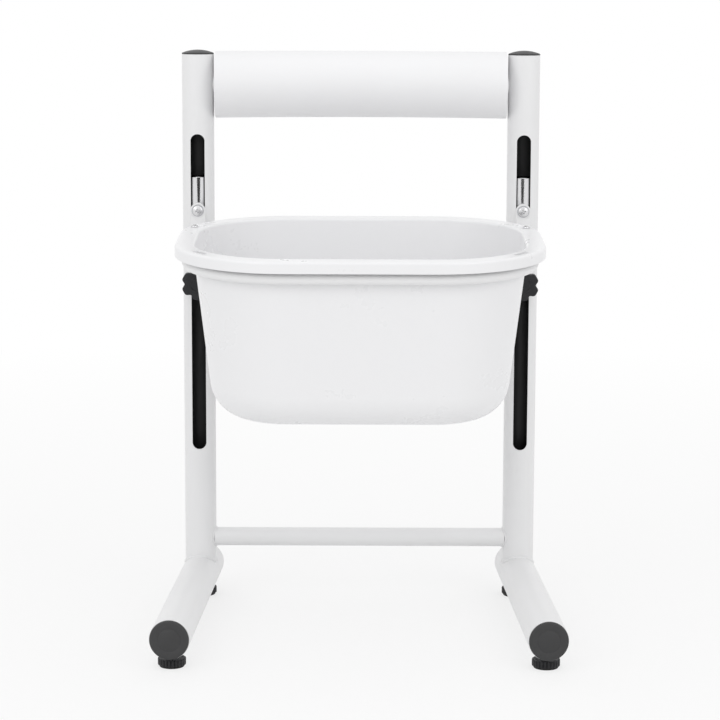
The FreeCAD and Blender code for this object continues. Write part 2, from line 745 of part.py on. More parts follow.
def strap(side, sign):
    """The flat bar in front of the slot that ties the hoop to its slider."""
    name = f"{side}_strap"
    half = s.strap_width / 2
    body = new_body(name)
    face = sketch_on(body, "XZ_Plane", f"{name}_face")
    slot(face, half, s.strap_bottom, s.screw_height + half)
    pad(body, face, s.strap_thickness)
    holes = sketch_on(body, "XZ_Plane", f"{name}_holes")
    circle(holes, s.screw_diameter / 2 + s.hole_gap, 0.0, s.screw_height)
    circle(holes, s.stud_diameter / 2 + s.hole_gap, 0.0, s.knob_height)
    pocket(body, holes, s.strap_thickness, reverse=True)
    body.Placement = placed(sign * POST_X, -STRAP_BACK)
    keep(name, body)


def ring_piece(name, outer, bore, length, placement):
    return cut(name, cylinder(f"{name}_outer", outer, length, placement),
               cylinder(f"{name}_bore", bore, length, placement))


def slot_bushes():
    """Glides that keep the straps centred in the slots."""
    back = SLIDER_R + s.seat_gap
    length = STRAP_BACK - s.press_gap - back
    bushes = []
    for side, sign in SIDES:
        for level, height, shank in (("upper", s.screw_height, s.screw_diameter),
                                     ("lower", s.knob_height, s.stud_diameter)):
            bushes.append(ring_piece(f"{side}_{level}_bush", BUSH_R,
                                     shank / 2 + s.hole_gap, length,
                                     facing_user(sign * POST_X, back, height)))
    keep("slot_bushes", group("slot_bushes", bushes))


def nut_seat(flats):
    """How far in front of the post axis a nut lies against the slider's bore."""
    corner = flats / math.sqrt(3)
    return other_leg(SLIDER_BORE, corner) - s.seat_gap


def strap_screws():
    """Pan-head screws through the straps, with a cross recess."""
    screws = []
    tail = nut_seat(s.screw_nut_flats) - s.screw_nut_height - s.screw_diameter / 4
    seat = STRAP_FRONT + s.press_gap
    for side, sign in SIDES:
        name = f"{side}_strap_screw"
        neck = seat - tail
        body = turned(f"{name}_blank", [
            (0.0, 0.0), (s.screw_diameter / 2, 0.0), (s.screw_diameter / 2, neck),
            (s.screw_head_diameter / 2, neck),
            (s.screw_head_diameter / 2, neck + s.screw_head_height),
            (0.0, neck + s.screw_head_height),
        ])
        round_edges(body, body.Tip, s.screw_head_height / 2, at_height(neck + s.screw_head_height))
        body.Placement = facing_user(sign * POST_X, tail, s.screw_height)
        arm = s.screw_head_diameter * 0.55
        blade = s.screw_head_diameter / 8
        depth = s.screw_head_height / 2
        face = seat + s.screw_head_height - depth
        recess = fuse(f"{name}_recess", [
            box(f"{name}_recess_across", arm, blade, depth * 2,
                facing_user(sign * POST_X - arm / 2, face, s.screw_height - blade / 2)),
            box(f"{name}_recess_up", blade, arm, depth * 2,
                facing_user(sign * POST_X - blade / 2, face, s.screw_height - arm / 2)),
        ])
        screws.append(cut(name, body, recess))
    keep("strap_screws", group("strap_screws", screws))


def slider_nuts(label, flats, height, thread, level):
    """Nuts held inside the two sliders."""
    nuts = []
    for side, sign in SIDES:
        where = facing_user(sign * POST_X, nut_seat(flats) - height, level)
        blank = hexagon(f"{side}_{label}_blank", flats, height, where)
        bore = cylinder(f"{side}_{label}_bore", thread / 2 + s.running_gap, height, where)
        nuts.append(cut(f"{side}_{label}", blank, bore))
    keep(label, group(label, nuts))


def knob_washer(side, sign):
    name = f"{side}_knob_washer"
    place = facing_user(sign * POST_X, STRAP_FRONT + s.running_gap, s.knob_height)
    keep(name, ring_piece(name, s.washer_diameter / 2, s.stud_diameter / 2 + s.hole_gap,
                          s.washer_thickness, place))


KNOB_BACK = STRAP_FRONT + s.washer_thickness + s.running_gap * 2


def knob_stud(side, sign):
    name = f"{side}_knob_stud"
    keep(name, cylinder(name, s.stud_diameter / 2, s.stud_reach + s.stud_in_knob,
                        facing_user(sign * POST_X, KNOB_BACK - s.stud_reach, s.knob_height)))


def star_knob(side, sign):
    """A moulded head with lobes on a round hub, bored for its stud."""
    name = f"{side}_star_knob"
    body = new_body(name)
    whole = s.knob_hub_length + s.knob_thickness
    disc = sketch_on(body, "XY_Plane", f"{name}_disc")
    circle(disc, s.knob_diameter / 2)
    pad(body, disc, whole)
    hollow = sketch_on(body, "XY_Plane", f"{name}_hollow")
    reach = s.knob_diameter / 2 + s.knob_scallop / 2 - s.knob_scallop_depth
    circle(hollow, s.knob_scallop / 2, reach)
    around(body, pocket(body, hollow, whole, reverse=True), s.knob_lobes)
    waist = sketch_on(body, "XY_Plane", f"{name}_waist")
    circle(waist, s.knob_diameter)
    circle(waist, s.knob_hub_diameter / 2)
    pocket(body, waist, s.knob_hub_length, reverse=True)
    round_edges(body, body.Tip, s.knob_edge_round, at_height(whole))
    hole = sketch_on(body, "XY_Plane", f"{name}_hole")
    circle(hole, s.stud_diameter / 2 + s.press_gap)
    pocket(body, hole, s.stud_in_knob + s.press_gap, reverse=True)
    body.Placement = facing_user(sign * POST_X, KNOB_BACK, s.knob_height)
    keep(name, body)


# ---------------------------------------------------------------- hoop and tub

def hoop_rod(name, radius):
    """A solid rod along the hoop: straight sides, round front corners, straight front."""
    rear = s.rim_setback
    body = new_body(name)
    path = sketch_on(body, "XY_Plane", f"{name}_path")
    side, front, corner = float(HOOP_SIDE), float(HOOP_FRONT), float(HOOP_CORNER)
    left = Part.Circle(vector(-side + corner, -front + corner), FreeCAD.Vector(0, 0, 1), corner)
    right = Part.Circle(vector(side - corner, -front + corner), FreeCAD.Vector(0, 0, 1), corner)
    path.addGeometry(Part.LineSegment(vector(-side, rear), vector(-side, -front + corner)))
    path.addGeometry(Part.ArcOfCircle(left, math.pi, 1.5 * math.pi))
    path.addGeometry(Part.LineSegment(vector(-side + corner, -front), vector(side - corner, -front)))
    path.addGeometry(Part.ArcOfCircle(right, 1.5 * math.pi, 2 * math.pi))
    path.addGeometry(Part.LineSegment(vector(side, -front + corner), vector(side, rear)))
    for one in range(4):
        path.addConstraint(Sketcher.Constraint("Tangent", one, 2, one + 1, 1))
    path.addConstraint(Sketcher.Constraint("Vertical", 0))
    path.addConstraint(Sketcher.Constraint("Horizontal", 2))
    path.addConstraint(Sketcher.Constraint("Vertical", 4))
    dimension(path, "Radius", (1,), HOOP_CORNER)
    path.addConstraint(Sketcher.Constraint("Equal", 1, 3))
    fix_point(path, (0, 1), -HOOP_SIDE, rear)
    fix_point(path, (4, 2), HOOP_SIDE, rear)
    dimension(path, "DistanceY", (-1, 1, 2, 1), -HOOP_FRONT)
    section = sketch_on(body, "XZ_Plane", f"{name}_section")
    section.AttachmentOffset = placed(z=-float(rear))
    circle(section, radius, -HOOP_SIDE, 0.0)
    sweep = body.newObject("PartDesign::AdditivePipe", f"{name}_sweep")
    sweep.Profile = section
    sweep.Spine = (path, [])
    doc.recompute()
    body.Placement = TUB_FRAME.multiply(placed(0, 0, -HOOP_DOWN))
    return body


def rear_of_straps(name):
    """Everything behind the front faces of the straps."""
    reach = s.post_spacing + s.strap_width * 2
    return box(name, reach, s.rim_setback * 4, s.stand_height,
               placed(-reach / 2, -STRAP_FRONT - s.press_gap))


def support_hoop():
    rod = hoop_rod("hoop_rod", HOOP_R)
    bore = hoop_rod("hoop_bore", HOOP_R - s.hoop_wall)
    room = fuse("hoop_room", [bore, rear_of_straps("hoop_trim")])
    keep("support_hoop", cut("support_hoop", rod, room))


def hoop_rear_bar():
    """The tube that closes the hoop behind the tub."""
    reach = HOOP_SIDE
    start = TUB_FRAME.multiply(placed(-reach, -s.rear_bar_inset, -HOOP_DOWN, (0, 1, 0), 90))
    bar = cylinder("rear_bar_rod", HOOP_R, reach * 2, start)
    bore = cylinder("rear_bar_bore", HOOP_R - s.hoop_wall, reach * 2, start)
    room = fuse("rear_bar_room", [bore, hoop_rod("rear_bar_ends", HOOP_R + s.press_gap)])
    keep("hoop_rear_bar", cut("hoop_rear_bar", bar, room))


def lug_spots():
    """Places of the lugs in the tub's frame: two at the sides, two at the front."""
    for sign in (-1, 1):
        yield "side", sign * HOOP_SIDE, -s.lug_side_back
        yield "front", sign * s.lug_front_offset, -HOOP_FRONT


def hoop_lugs():
    """Lugs on the hoop that the rim rests on. The two at the sides are tapped."""
    top = s.tub_wall + s.seat_gap
    lugs = []
    for number, (kind, x, y) in enumerate(lug_spots(), start=1):
        name = f"hoop_lug_{number}"
        where = TUB_FRAME.multiply(placed(x, y, -HOOP_DOWN))
        lug = cylinder(f"{name}_blank", s.lug_diameter / 2, HOOP_DOWN - top, where)
        room = hoop_rod(f"{name}_seat", HOOP_R + s.press_gap)
        if kind == "side":
            thread = cylinder(f"{name}_thread", s.rim_screw_diameter / 2 + s.running_gap,
                              HOOP_DOWN, where)
            room = fuse(f"{name}_room", [room, thread])
        lugs.append(cut(name, lug, room))
    keep("hoop_lugs", group("hoop_lugs", lugs))


def rim_screws():
    screws = []
    for number, (kind, x, y) in enumerate(lug_spots(), start=1):
        if kind != "side":
            continue
        shank, head = s.rim_screw_diameter / 2, s.rim_screw_head_diameter / 2
        body = turned(f"rim_screw_{number}", [
            (0.0, -s.rim_screw_length), (shank, -s.rim_screw_length), (shank, s.press_gap),
            (head, s.press_gap), (head, s.press_gap + s.rim_screw_head_height),
            (0.0, s.press_gap + s.rim_screw_head_height),
        ])
        top = at_height(s.press_gap + s.rim_screw_head_height)
        round_edges(body, body.Tip, s.rim_screw_head_height / 2, top)
        body.Placement = TUB_FRAME.multiply(placed(x, y))
        screws.append(body)
    keep("rim_screws", group("rim_screws", screws))


def tub_outside():
    """Drafted basin, flat flange and a lip that hangs from its edge, still solid inside."""
    body = new_body("tub_outside")
    half, depth = RIM_HALF, s.rim_depth
    shell = sketch_on(body, "XY_Plane", "tub_shell")
    inset = s.rim_flange
    rounded(shell, half - inset, inset, depth - inset, s.rim_corner - inset)
    basin = pad(body, shell, s.tub_depth, -s.tub_draft, reverse=True)
    round_edges(body, basin, s.tub_bottom_round, at_height(-s.tub_depth))
    plate = sketch_on(body, "XY_Plane", "tub_flange")
    rounded(plate, half, 0.0, depth, s.rim_corner)
    flange = pad(body, plate, s.rim_skirt, reverse=True)
    round_edges(body, flange, s.rim_edge_round, at_height(0.0))
    under = sketch_on(body, "XY_Plane", "tub_underside")
    under.AttachmentOffset = placed(z=-float(s.tub_wall))
    rounded(under, half - s.tub_wall, s.tub_wall, depth - s.tub_wall, s.rim_corner - s.tub_wall)
    rounded(under, half - inset, inset, depth - inset, s.rim_corner - inset)
    pocket(body, under, s.rim_skirt)
    body.Placement = TUB_FRAME
    return body


def tub_cavity():
    """The space inside the tub, as a solid to cut with."""
    body = new_body("tub_cavity")
    sketch = sketch_on(body, "XY_Plane", "tub_inside")
    inset = s.rim_flange + s.tub_wall
    rounded(sketch, RIM_HALF - inset, inset, s.rim_depth - inset, s.rim_corner - inset)
    space = pad(body, sketch, s.tub_depth - s.tub_wall, -s.tub_draft, reverse=True)
    round_edges(body, space, s.tub_bottom_round - s.tub_wall,
                at_height(-(s.tub_depth - s.tub_wall)))
    body.Placement = TUB_FRAME
    return body


def slot_cutter(name, placement):
    body = new_body(name)
    sketch = sketch_on(body, "XY_Plane", f"{name}_shape")
    slot(sketch, s.rim_slot_width / 2, -s.rim_slot_length / 2, s.rim_slot_length / 2)
    pad(body, sketch, s.tub_wall * 3)
    body.Placement = placement
    return body


def tub():
    """The tub as one moulding, with its drain hole, two screw holes and two rim slots."""
    room = [tub_cavity()]
    for side, sign in SIDES:
        corner = placed(sign * (RIM_HALF - s.rim_corner), s.rim_corner - s.rim_depth,
                        angle=-sign * s.rim_slot_angle)
        middle = placed(sign * (s.rim_corner - (s.rim_flange + s.tub_wall) / 2), 0,
                        -s.tub_wall * 2)
        room.append(slot_cutter(f"{side}_rim_slot", TUB_FRAME.multiply(corner).multiply(middle)))
    for number, (kind, x, y) in enumerate(lug_spots(), start=1):
        if kind == "side":
            room.append(cylinder(f"rim_hole_{number}", s.rim_screw_diameter / 2 + s.hole_gap,
                                 s.rim_skirt * 2, TUB_FRAME.multiply(placed(x, y, -s.rim_skirt))))
    room.append(cylinder("drain_hole", DRAIN_R + s.hole_gap, s.tub_depth,
                         in_tub(-s.tub_depth * 1.5)))
    shell = cut("tub_shell_cut", tub_outside(), fuse("tub_room", room))
    doc.recompute()
    inset = float(s.rim_flange + s.tub_wall)
    level = TUB_FRAME.inverse()

    def inner_edge(edge):
        """Flat in the rim's plane, and on the line of the inner wall."""
        first, last = edge.ParameterRange
        spots = [level.multVec(edge.valueAt(place)) for place in (first, (first + last) / 2, last)]
        return all(abs(spot.z) < SAME_PLACE and abs(distance_to_rim(spot) - inset) < SAME_PLACE
                   for spot in spots)

    softened = doc.addObject("Part::Fillet", "tub_softened")
    softened.Base = shell
    round_size = float(s.rim_inner_round)
    softened.Edges = [(number, round_size, round_size)
                      for number, edge in enumerate(shell.Shape.Edges, start=1)
                      if inner_edge(edge)]
    keep("tub", softened)


def distance_to_rim(spot):
    """How far inside the rim's plan outline a place in the tub's frame lies."""
    half, middle, corner = RIM_HALF, s.rim_depth / 2, s.rim_corner
    across = abs(spot.x) - float(half - corner)
    along = abs(spot.y + float(middle)) - float(middle - corner)
    if across > 0 and along > 0:
        return float(corner) - math.hypot(across, along)
    return float(corner) - max(across, along)


# ---------------------------------------------------------------- drain

DRAIN_R = s.drain_bore / 2 + s.drain_wall


def in_tub(z):
    """A place on the drain's axis, z below the rim."""
    return TUB_FRAME.multiply(placed(0, -TUB_MIDDLE, z))


def drain_fitting():
    floor = s.seat_gap
    body = turned("drain_fitting", [
        (s.drain_bore / 2, -s.tub_wall - s.drain_length),
        (DRAIN_R, -s.tub_wall - s.drain_length), (DRAIN_R, floor),
        (s.drain_flange_diameter / 2, floor),
        (s.drain_flange_diameter / 2, floor + s.drain_flange_thickness),
        (s.drain_bore / 2, floor + s.drain_flange_thickness),
    ])
    top = at_height(floor + s.drain_flange_thickness)
    outer = float(s.drain_flange_diameter / 2)
    round_edges(body, body.Tip, s.drain_flange_thickness / 2,
                lambda edge: top(edge) and edge.BoundBox.XMax > outer - SAME_PLACE)
    body.Placement = in_tub(-(s.tub_depth - s.tub_wall))
    keep("drain_fitting", body)


def drain_gasket():
    place = in_tub(-s.tub_depth - s.drain_gasket_thickness - s.seat_gap)
    keep("drain_gasket", ring_piece("drain_gasket", s.drain_nut_diameter / 2, DRAIN_R + s.hole_gap,
                                    s.drain_gasket_thickness, place))


def drain_nut():
    down = s.drain_gasket_thickness + s.seat_gap * 2 + s.drain_nut_thickness
    place = in_tub(-s.tub_depth - down)
    disc = ring_piece("drain_nut_ring", s.drain_nut_diameter / 2, DRAIN_R + s.press_gap,
                      s.drain_nut_thickness, place)
    grips = []
    for number in range(6):
        turn = placed(angle=60 * number).multiply(placed(s.drain_nut_diameter / 2))
        grips.append(cylinder(f"drain_nut_grip_{number + 1}", s.drain_nut_thickness / 2,
                              s.drain_nut_thickness, place.multiply(turn)))
    keep("drain_nut", cut("drain_nut", disc, fuse("drain_nut_grips", grips)))


def drain_stopper():
    """A plug that drops into the drain, with a finger grip."""
    seat = s.seat_gap * 2 + s.drain_flange_thickness
    plug = s.drain_bore / 2 - s.hole_gap
    top = seat + s.stopper_thickness
    body = turned("drain_stopper", [
        (0.0, seat - s.stopper_plug), (plug - s.drain_wall, seat - s.stopper_plug), (plug, seat),
        (s.stopper_diameter / 2, seat), (s.stopper_diameter / 2, top),
        (s.stopper_grip_diameter / 2, top),
        (s.stopper_grip_diameter / 2, top + s.stopper_grip_height),
        (0.0, top + s.stopper_grip_height),
    ])
    crown = top + s.stopper_grip_height
    round_edges(body, body.Tip, s.stopper_thickness / 3,
                lambda edge: at_height(crown)(edge) or (
                    at_height(top)(edge) and edge.BoundBox.XLength > float(s.stopper_diameter) - 1))
    body.Placement = in_tub(-(s.tub_depth - s.tub_wall))
    keep("drain_stopper", body)


# ---------------------------------------------------------------- the whole

def build():
    for side, sign in SIDES:
        post(side, sign)
        post_liner(side, sign)
        post_cap(side, sign)
        foot_tube(side, sign)
        for end, facing in ENDS:
            foot_cap(side, sign, end, facing)
        slider(side, sign)
        strap(side, sign)
        knob_washer(side, sign)
        knob_stud(side, sign)
        star_knob(side, sign)
    lower_crossbar()
    upper_crossbar()
    top_roll()
    foot_inserts()
    lock_nuts()
    for place, spot in leveller_places():
        levelling_pad(place, spot)
        levelling_sole(place, spot)
    slot_bushes()
    strap_screws()
    slider_nuts("screw_nuts", s.screw_nut_flats, s.screw_nut_height, s.screw_diameter,
                s.screw_height)
    slider_nuts("clamp_nuts", s.clamp_nut_flats, s.clamp_nut_height, s.stud_diameter,
                s.knob_height)
    support_hoop()
    hoop_rear_bar()
    hoop_lugs()
    rim_screws()
    tub()
    drain_fitting()
    drain_gasket()
    drain_nut()
    drain_stopper()


def seat_on_origin():
    """Move every piece alike, so that the footprint's middle is the origin."""
    bounds = FreeCAD.BoundBox()
    for item in parts.values():
        bounds.add(item.Shape.optimalBoundingBox(False))
    shift = FreeCAD.Vector(0, -(bounds.YMin + bounds.YMax) / 2, 0)
    for item in parts.values():
        item.Placement = FreeCAD.Placement(shift, FreeCAD.Rotation()).multiply(item.Placement)
    doc.recompute()
    print(f"post axes at Y = {shift.y:.4f}, box {bounds}")


def check():
    for item in doc.Objects:
        if {"Invalid", "Error"} & set(item.State):
            raise RuntimeError(f"{item.Label} failed: {item.State}")
    for label, item in parts.items():
        if item.Shape.isNull() or not item.Shape.isValid() or not item.Shape.Solids:
            raise RuntimeError(f"{label} has no valid shape")


def write():
    os.makedirs("parts", exist_ok=True)
    for label, item in parts.items():
        item.Shape.exportStep(f"parts/{label}.step")
    print(f"{len(parts)} nodes written")


build()
doc.recompute()
check()
seat_on_origin()
check()
write()
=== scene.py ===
import json
import math

import bmesh
import bpy
from mathutils import Matrix, Vector


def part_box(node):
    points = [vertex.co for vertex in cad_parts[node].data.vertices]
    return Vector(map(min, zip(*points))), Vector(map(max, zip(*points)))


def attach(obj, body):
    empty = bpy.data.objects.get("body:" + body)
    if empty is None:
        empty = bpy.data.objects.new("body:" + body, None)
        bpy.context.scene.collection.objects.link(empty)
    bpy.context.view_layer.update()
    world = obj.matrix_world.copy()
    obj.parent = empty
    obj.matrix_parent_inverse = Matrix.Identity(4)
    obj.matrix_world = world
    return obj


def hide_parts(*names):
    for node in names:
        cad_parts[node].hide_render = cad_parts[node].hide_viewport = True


# A height-adjustable bathing tub on a two-post stand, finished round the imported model.
# Metres, +Z up, the user stands on the -Y side. Places come from the frame's own boxes.

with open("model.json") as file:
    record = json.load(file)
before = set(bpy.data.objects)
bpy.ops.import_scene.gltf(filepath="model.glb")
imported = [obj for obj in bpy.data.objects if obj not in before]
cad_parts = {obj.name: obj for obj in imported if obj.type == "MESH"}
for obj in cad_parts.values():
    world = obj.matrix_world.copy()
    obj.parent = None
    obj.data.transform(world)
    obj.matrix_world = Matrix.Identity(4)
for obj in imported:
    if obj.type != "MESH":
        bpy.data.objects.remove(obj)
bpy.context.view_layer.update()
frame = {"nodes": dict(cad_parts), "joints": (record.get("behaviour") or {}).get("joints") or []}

MM = 0.001
FULL_TURN = math.tau
SIDES = (("left", -1), ("right", 1))
FEET = [f"{end}_{side}" for side in ("left", "right") for end in ("front", "rear")]


def middle(node):
    low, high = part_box(node)
    return (low + high) / 2


def joint(name):
    return next(item for item in frame["joints"] if item["name"] == name)


# ------------------------------------------------------------------ sizes from the frame

POST_Y = middle("left_post").y
POST_X = middle("right_post").x
POST_R = (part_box("right_post")[1].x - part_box("right_post")[0].x) / 2
POST_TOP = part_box("left_post")[1].z
POST_WALL = 2 * MM
SLOT_HALF = 11.3 * MM
SLOT_LOW, SLOT_HIGH = 257 * MM, 767 * MM

FOOT_R = 30.15 * MM
FOOT_AXIS = 48.5 * MM
FOOT_FRONT, FOOT_REAR = 425 * MM, 70 * MM
FOOT_SPLAY = math.radians(2.7)

LIP = 17.5 * MM
RIM_ROUND = 4.5 * MM
TUB_WALL = 3 * MM
RIM_CORNER = 167 * MM
FLANGE = 29 * MM
TUB_DEPTH = 262 * MM
TUB_DRAFT = math.radians(6.8)
TUB_ROUND = 55 * MM

up = Vector(joint("stopper_lift")["axis"])
RIM_SLOPE = math.atan2(-up.y, up.z)
tub_low, tub_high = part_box("tub")
RIM_WIDTH = tub_high.x - tub_low.x
RIM_DEPTH = 435 * MM
TUB_SPACE = (
    Matrix.Translation((0, tub_high.y - LIP * math.sin(RIM_SLOPE),
                        tub_high.z + RIM_ROUND * math.sin(RIM_SLOPE)))
    @ Matrix.Rotation(RIM_SLOPE, 4, "X")
)
FACING_USER = Matrix.Rotation(math.radians(90), 4, "X")


# ------------------------------------------------------------------ making pieces

def arc(centre, radius, start, end, steps):
    """Points of an arc in a profile, angles in degrees."""
    points = []
    for step in range(steps + 1):
        angle = math.radians(start + (end - start) * step / steps)
        points.append((centre[0] + radius * math.cos(angle), centre[1] + radius * math.sin(angle)))
    return points


def lathe(bm, profile, steps=64):
    """Turn an outline of (radius, height) points about Z. Ends on the axis are closed."""
    verts = [bm.verts.new((radius, 0, height)) for radius, height in profile]
    edges = [bm.edges.new(pair) for pair in zip(verts, verts[1:])]
    bmesh.ops.spin(bm, geom=verts + edges, cent=(0, 0, 0), axis=(0, 0, 1), angle=FULL_TURN,
                   steps=steps, use_merge=True, use_duplicate=False)
    bmesh.ops.remove_doubles(bm, verts=bm.verts, dist=1e-6)


def ring_profile(outer, inner, low, high, soften):
    """The closed section of a tube with softened edges."""
    return [
        (inner, low), (outer - soften, low), (outer, low + soften),
        (outer, high - soften), (outer - soften, high), (inner, high), (inner, low),
    ]


def disc_face(bm, radius, steps=64):
    made = bmesh.ops.create_circle(bm, cap_ends=True, radius=radius, segments=steps)
    return made["verts"][0].link_faces[0]


def extrude_face(bm, face, offset):
    made = bmesh.ops.extrude_face_region(bm, geom=[face])
    moved = [item for item in made["geom"] if isinstance(item, bmesh.types.BMVert)]
    bmesh.ops.translate(bm, verts=moved, vec=offset)
    return next(item for item in made["geom"] if isinstance(item, bmesh.types.BMFace))


def soften(bm, edges, offset, segments=3):
    bmesh.ops.bevel(bm, geom=edges, offset=offset, segments=segments, profile=0.5,
                    affect="EDGES", material=-1, clamp_overlap=True)


def level_edges(bm, height):
    """Edges that lie flat at one height."""
    return [edge for edge in bm.edges
            if all(abs(vert.co.z - height) < 1e-6 for vert in edge.verts)]


def place(bm, matrix):
    bmesh.ops.transform(bm, matrix=matrix, verts=bm.verts)


def piece(name, bm, body, material, stands_for=(), smooth=35, turn_faces=True):
    """Make an object from a bmesh and tie it to its body."""
    if turn_faces:
        bmesh.ops.recalc_face_normals(bm, faces=bm.faces)
    mesh = bpy.data.meshes.new(name)
    bm.to_mesh(mesh)
    bm.free()
    mesh.shade_smooth()
    mesh.set_sharp_from_angle(angle=math.radians(smooth))
    obj = bpy.data.objects.new(name, mesh)
    bpy.context.scene.collection.objects.link(obj)
    obj.data.materials.append(material)
    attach(obj, body)
    if stands_for:
        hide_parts(*stands_for)
    return obj


def cutter(name, bm):
    """A helper solid for a boolean, removed once it has cut."""
    bmesh.ops.recalc_face_normals(bm, faces=bm.faces)
    mesh = bpy.data.meshes.new(name)
    bm.to_mesh(mesh)
    bm.free()
    obj = bpy.data.objects.new(name, mesh)
    bpy.context.scene.collection.objects.link(obj)
    return obj


def bake_modifiers(obj, smooth=35):
    """Replace a mesh with its own result, with no modifier left."""
    bpy.context.view_layer.update()
    graph = bpy.context.evaluated_depsgraph_get()
    result = bpy.data.meshes.new_from_object(obj.evaluated_get(graph))
    obj.modifiers.clear()
    obj.data = result
    result.shade_smooth()
    result.set_sharp_from_angle(angle=math.radians(smooth))


def carve(obj, tools, smooth=35):
    """Cut helper solids out of a piece."""
    for tool in tools:
        step = obj.modifiers.new("carve", "BOOLEAN")
        step.operation = "DIFFERENCE"
        step.solver = "EXACT"
        step.object = tool
    bake_modifiers(obj, smooth)
    for tool in tools:
        mesh = tool.data
        bpy.data.objects.remove(tool)
        bpy.data.meshes.remove(mesh)


def steady_normals(obj):
    """Keep large flat faces flat beside small rounded edges."""
    step = obj.modifiers.new("steady_normals", "WEIGHTED_NORMAL")
    step.keep_sharp = True


def stadium(bm, half, low, high, steps=48):
    """An upright slot shape in the XY plane: two half rounds joined by straight sides."""
    face = disc_face(bm, half, steps)
    bmesh.ops.bisect_plane(bm, geom=list(bm.verts) + list(bm.edges) + list(bm.faces),
                           plane_co=(0, 0, 0), plane_no=(0, 1, 0))
    top = [vert for vert in bm.verts if vert.co.y > 1e-6]
    bottom = [vert for vert in bm.verts if vert.co.y < -1e-6]
    bmesh.ops.translate(bm, verts=top, vec=(0, high - half, 0))
    bmesh.ops.translate(bm, verts=bottom, vec=(0, low + half, 0))
    waist = [vert for vert in bm.verts if abs(vert.co.y) < 1e-6]
    bmesh.ops.translate(bm, verts=waist, vec=(0, (low + high) / 2, 0))
    bmesh.ops.dissolve_faces(bm, faces=list(bm.faces))
    bm.faces.ensure_lookup_table()
    return bm.faces[0]


# ------------------------------------------------------------------ shared shader groups

def new_group(name, inputs, outputs):
    group = bpy.data.node_groups.new(name, "ShaderNodeTree")
    for label, kind, value in inputs:
        socket = group.interface.new_socket(name=label, in_out="INPUT", socket_type=kind)
        socket.default_value = value
    for label, kind in outputs:
        group.interface.new_socket(name=label, in_out="OUTPUT", socket_type=kind)
    return group, group.nodes.new("NodeGroupInput"), group.nodes.new("NodeGroupOutput")


def node(tree, kind, **settings):
    made = tree.nodes.new(kind)
    for key, value in settings.items():
        if key in made.inputs:
            made.inputs[key].default_value = value
        else:
            setattr(made, key.lower(), value)
    return made


def moulded_grain():
    """Fine grain and slow unevenness of a moulded or sprayed skin."""
    group, entry, leave = new_group("moulded_grain", [
        ("Grain Scale", "NodeSocketFloat", 900.0),
        ("Wave Scale", "NodeSocketFloat", 14.0),
        ("Wave Share", "NodeSocketFloat", 0.4),
    ], [("Height", "NodeSocketFloat"), ("Mottle", "NodeSocketFloat")])
    where = node(group, "ShaderNodeTexCoord")
    grain = node(group, "ShaderNodeTexNoise", Detail=3.0, Roughness=0.55)
    wave = node(group, "ShaderNodeTexNoise", Detail=2.0, Roughness=0.5)
    blend = node(group, "ShaderNodeMix", data_type="FLOAT")
    link = group.links.new
    for texture, scale in ((grain, "Grain Scale"), (wave, "Wave Scale")):
        link(where.outputs["Object"], texture.inputs["Vector"])
        link(entry.outputs[scale], texture.inputs["Scale"])
    link(entry.outputs["Wave Share"], blend.inputs["Factor"])
    link(grain.outputs["Fac"], blend.inputs["A"])
    link(wave.outputs["Fac"], blend.inputs["B"])
    link(blend.outputs["Result"], leave.inputs["Height"])
    link(wave.outputs["Fac"], leave.inputs["Mottle"])
    return group


def handling_marks():
    """Faint rubbed patches that change how a surface shines."""
    group, entry, leave = new_group("handling_marks", [
        ("Patch Scale", "NodeSocketFloat", 9.0),
        ("Low", "NodeSocketFloat", 0.3),
        ("High", "NodeSocketFloat", 0.4),
    ], [("Roughness", "NodeSocketFloat")])
    where = node(group, "ShaderNodeTexCoord")
    patch = node(group, "ShaderNodeTexNoise", Detail=5.0, Roughness=0.62)
    spread = node(group, "ShaderNodeMapRange")
    spread.inputs["From Min"].default_value = 0.3
    spread.inputs["From Max"].default_value = 0.7
    link = group.links.new
    link(where.outputs["Object"], patch.inputs["Vector"])
    link(entry.outputs["Patch Scale"], patch.inputs["Scale"])
    link(patch.outputs["Fac"], spread.inputs["Value"])
    link(entry.outputs["Low"], spread.inputs["To Min"])
    link(entry.outputs["High"], spread.inputs["To Max"])
    link(spread.outputs["Result"], leave.inputs["Roughness"])
    return group


GRAIN = moulded_grain()
MARKS = handling_marks()


def skin(name, light, dark, grain, bump, shine, metal=0.0, coat=0.0, specular=0.5):
    """A material with its own tone, grain and shine. grain: scale, wave scale, wave share."""
    material = bpy.data.materials.new(name)
    material.use_nodes = True
    tree = material.node_tree
    shader = tree.nodes["Principled BSDF"]
    shader.inputs["Metallic"].default_value = metal
    shader.inputs["Coat Weight"].default_value = coat
    shader.inputs["Specular IOR Level"].default_value = specular
    texture = node(tree, "ShaderNodeGroup", node_tree=GRAIN)
    for label, value in zip(("Grain Scale", "Wave Scale", "Wave Share"), grain):
        texture.inputs[label].default_value = value
    marks = node(tree, "ShaderNodeGroup", node_tree=MARKS)
    marks.inputs["Low"].default_value, marks.inputs["High"].default_value = shine
    tone = node(tree, "ShaderNodeMix", data_type="RGBA")
    tone.inputs["A"].default_value = (*light, 1)
    tone.inputs["B"].default_value = (*dark, 1)
    relief = node(tree, "ShaderNodeBump", Strength=bump[0], Distance=bump[1])
    link = tree.links.new
    link(texture.outputs["Mottle"], tone.inputs["Factor"])
    link(tone.outputs["Result"], shader.inputs["Base Color"])
    link(marks.outputs["Roughness"], shader.inputs["Roughness"])
    link(texture.outputs["Height"], relief.inputs["Height"])
    link(relief.outputs["Normal"], shader.inputs["Normal"])
    return material


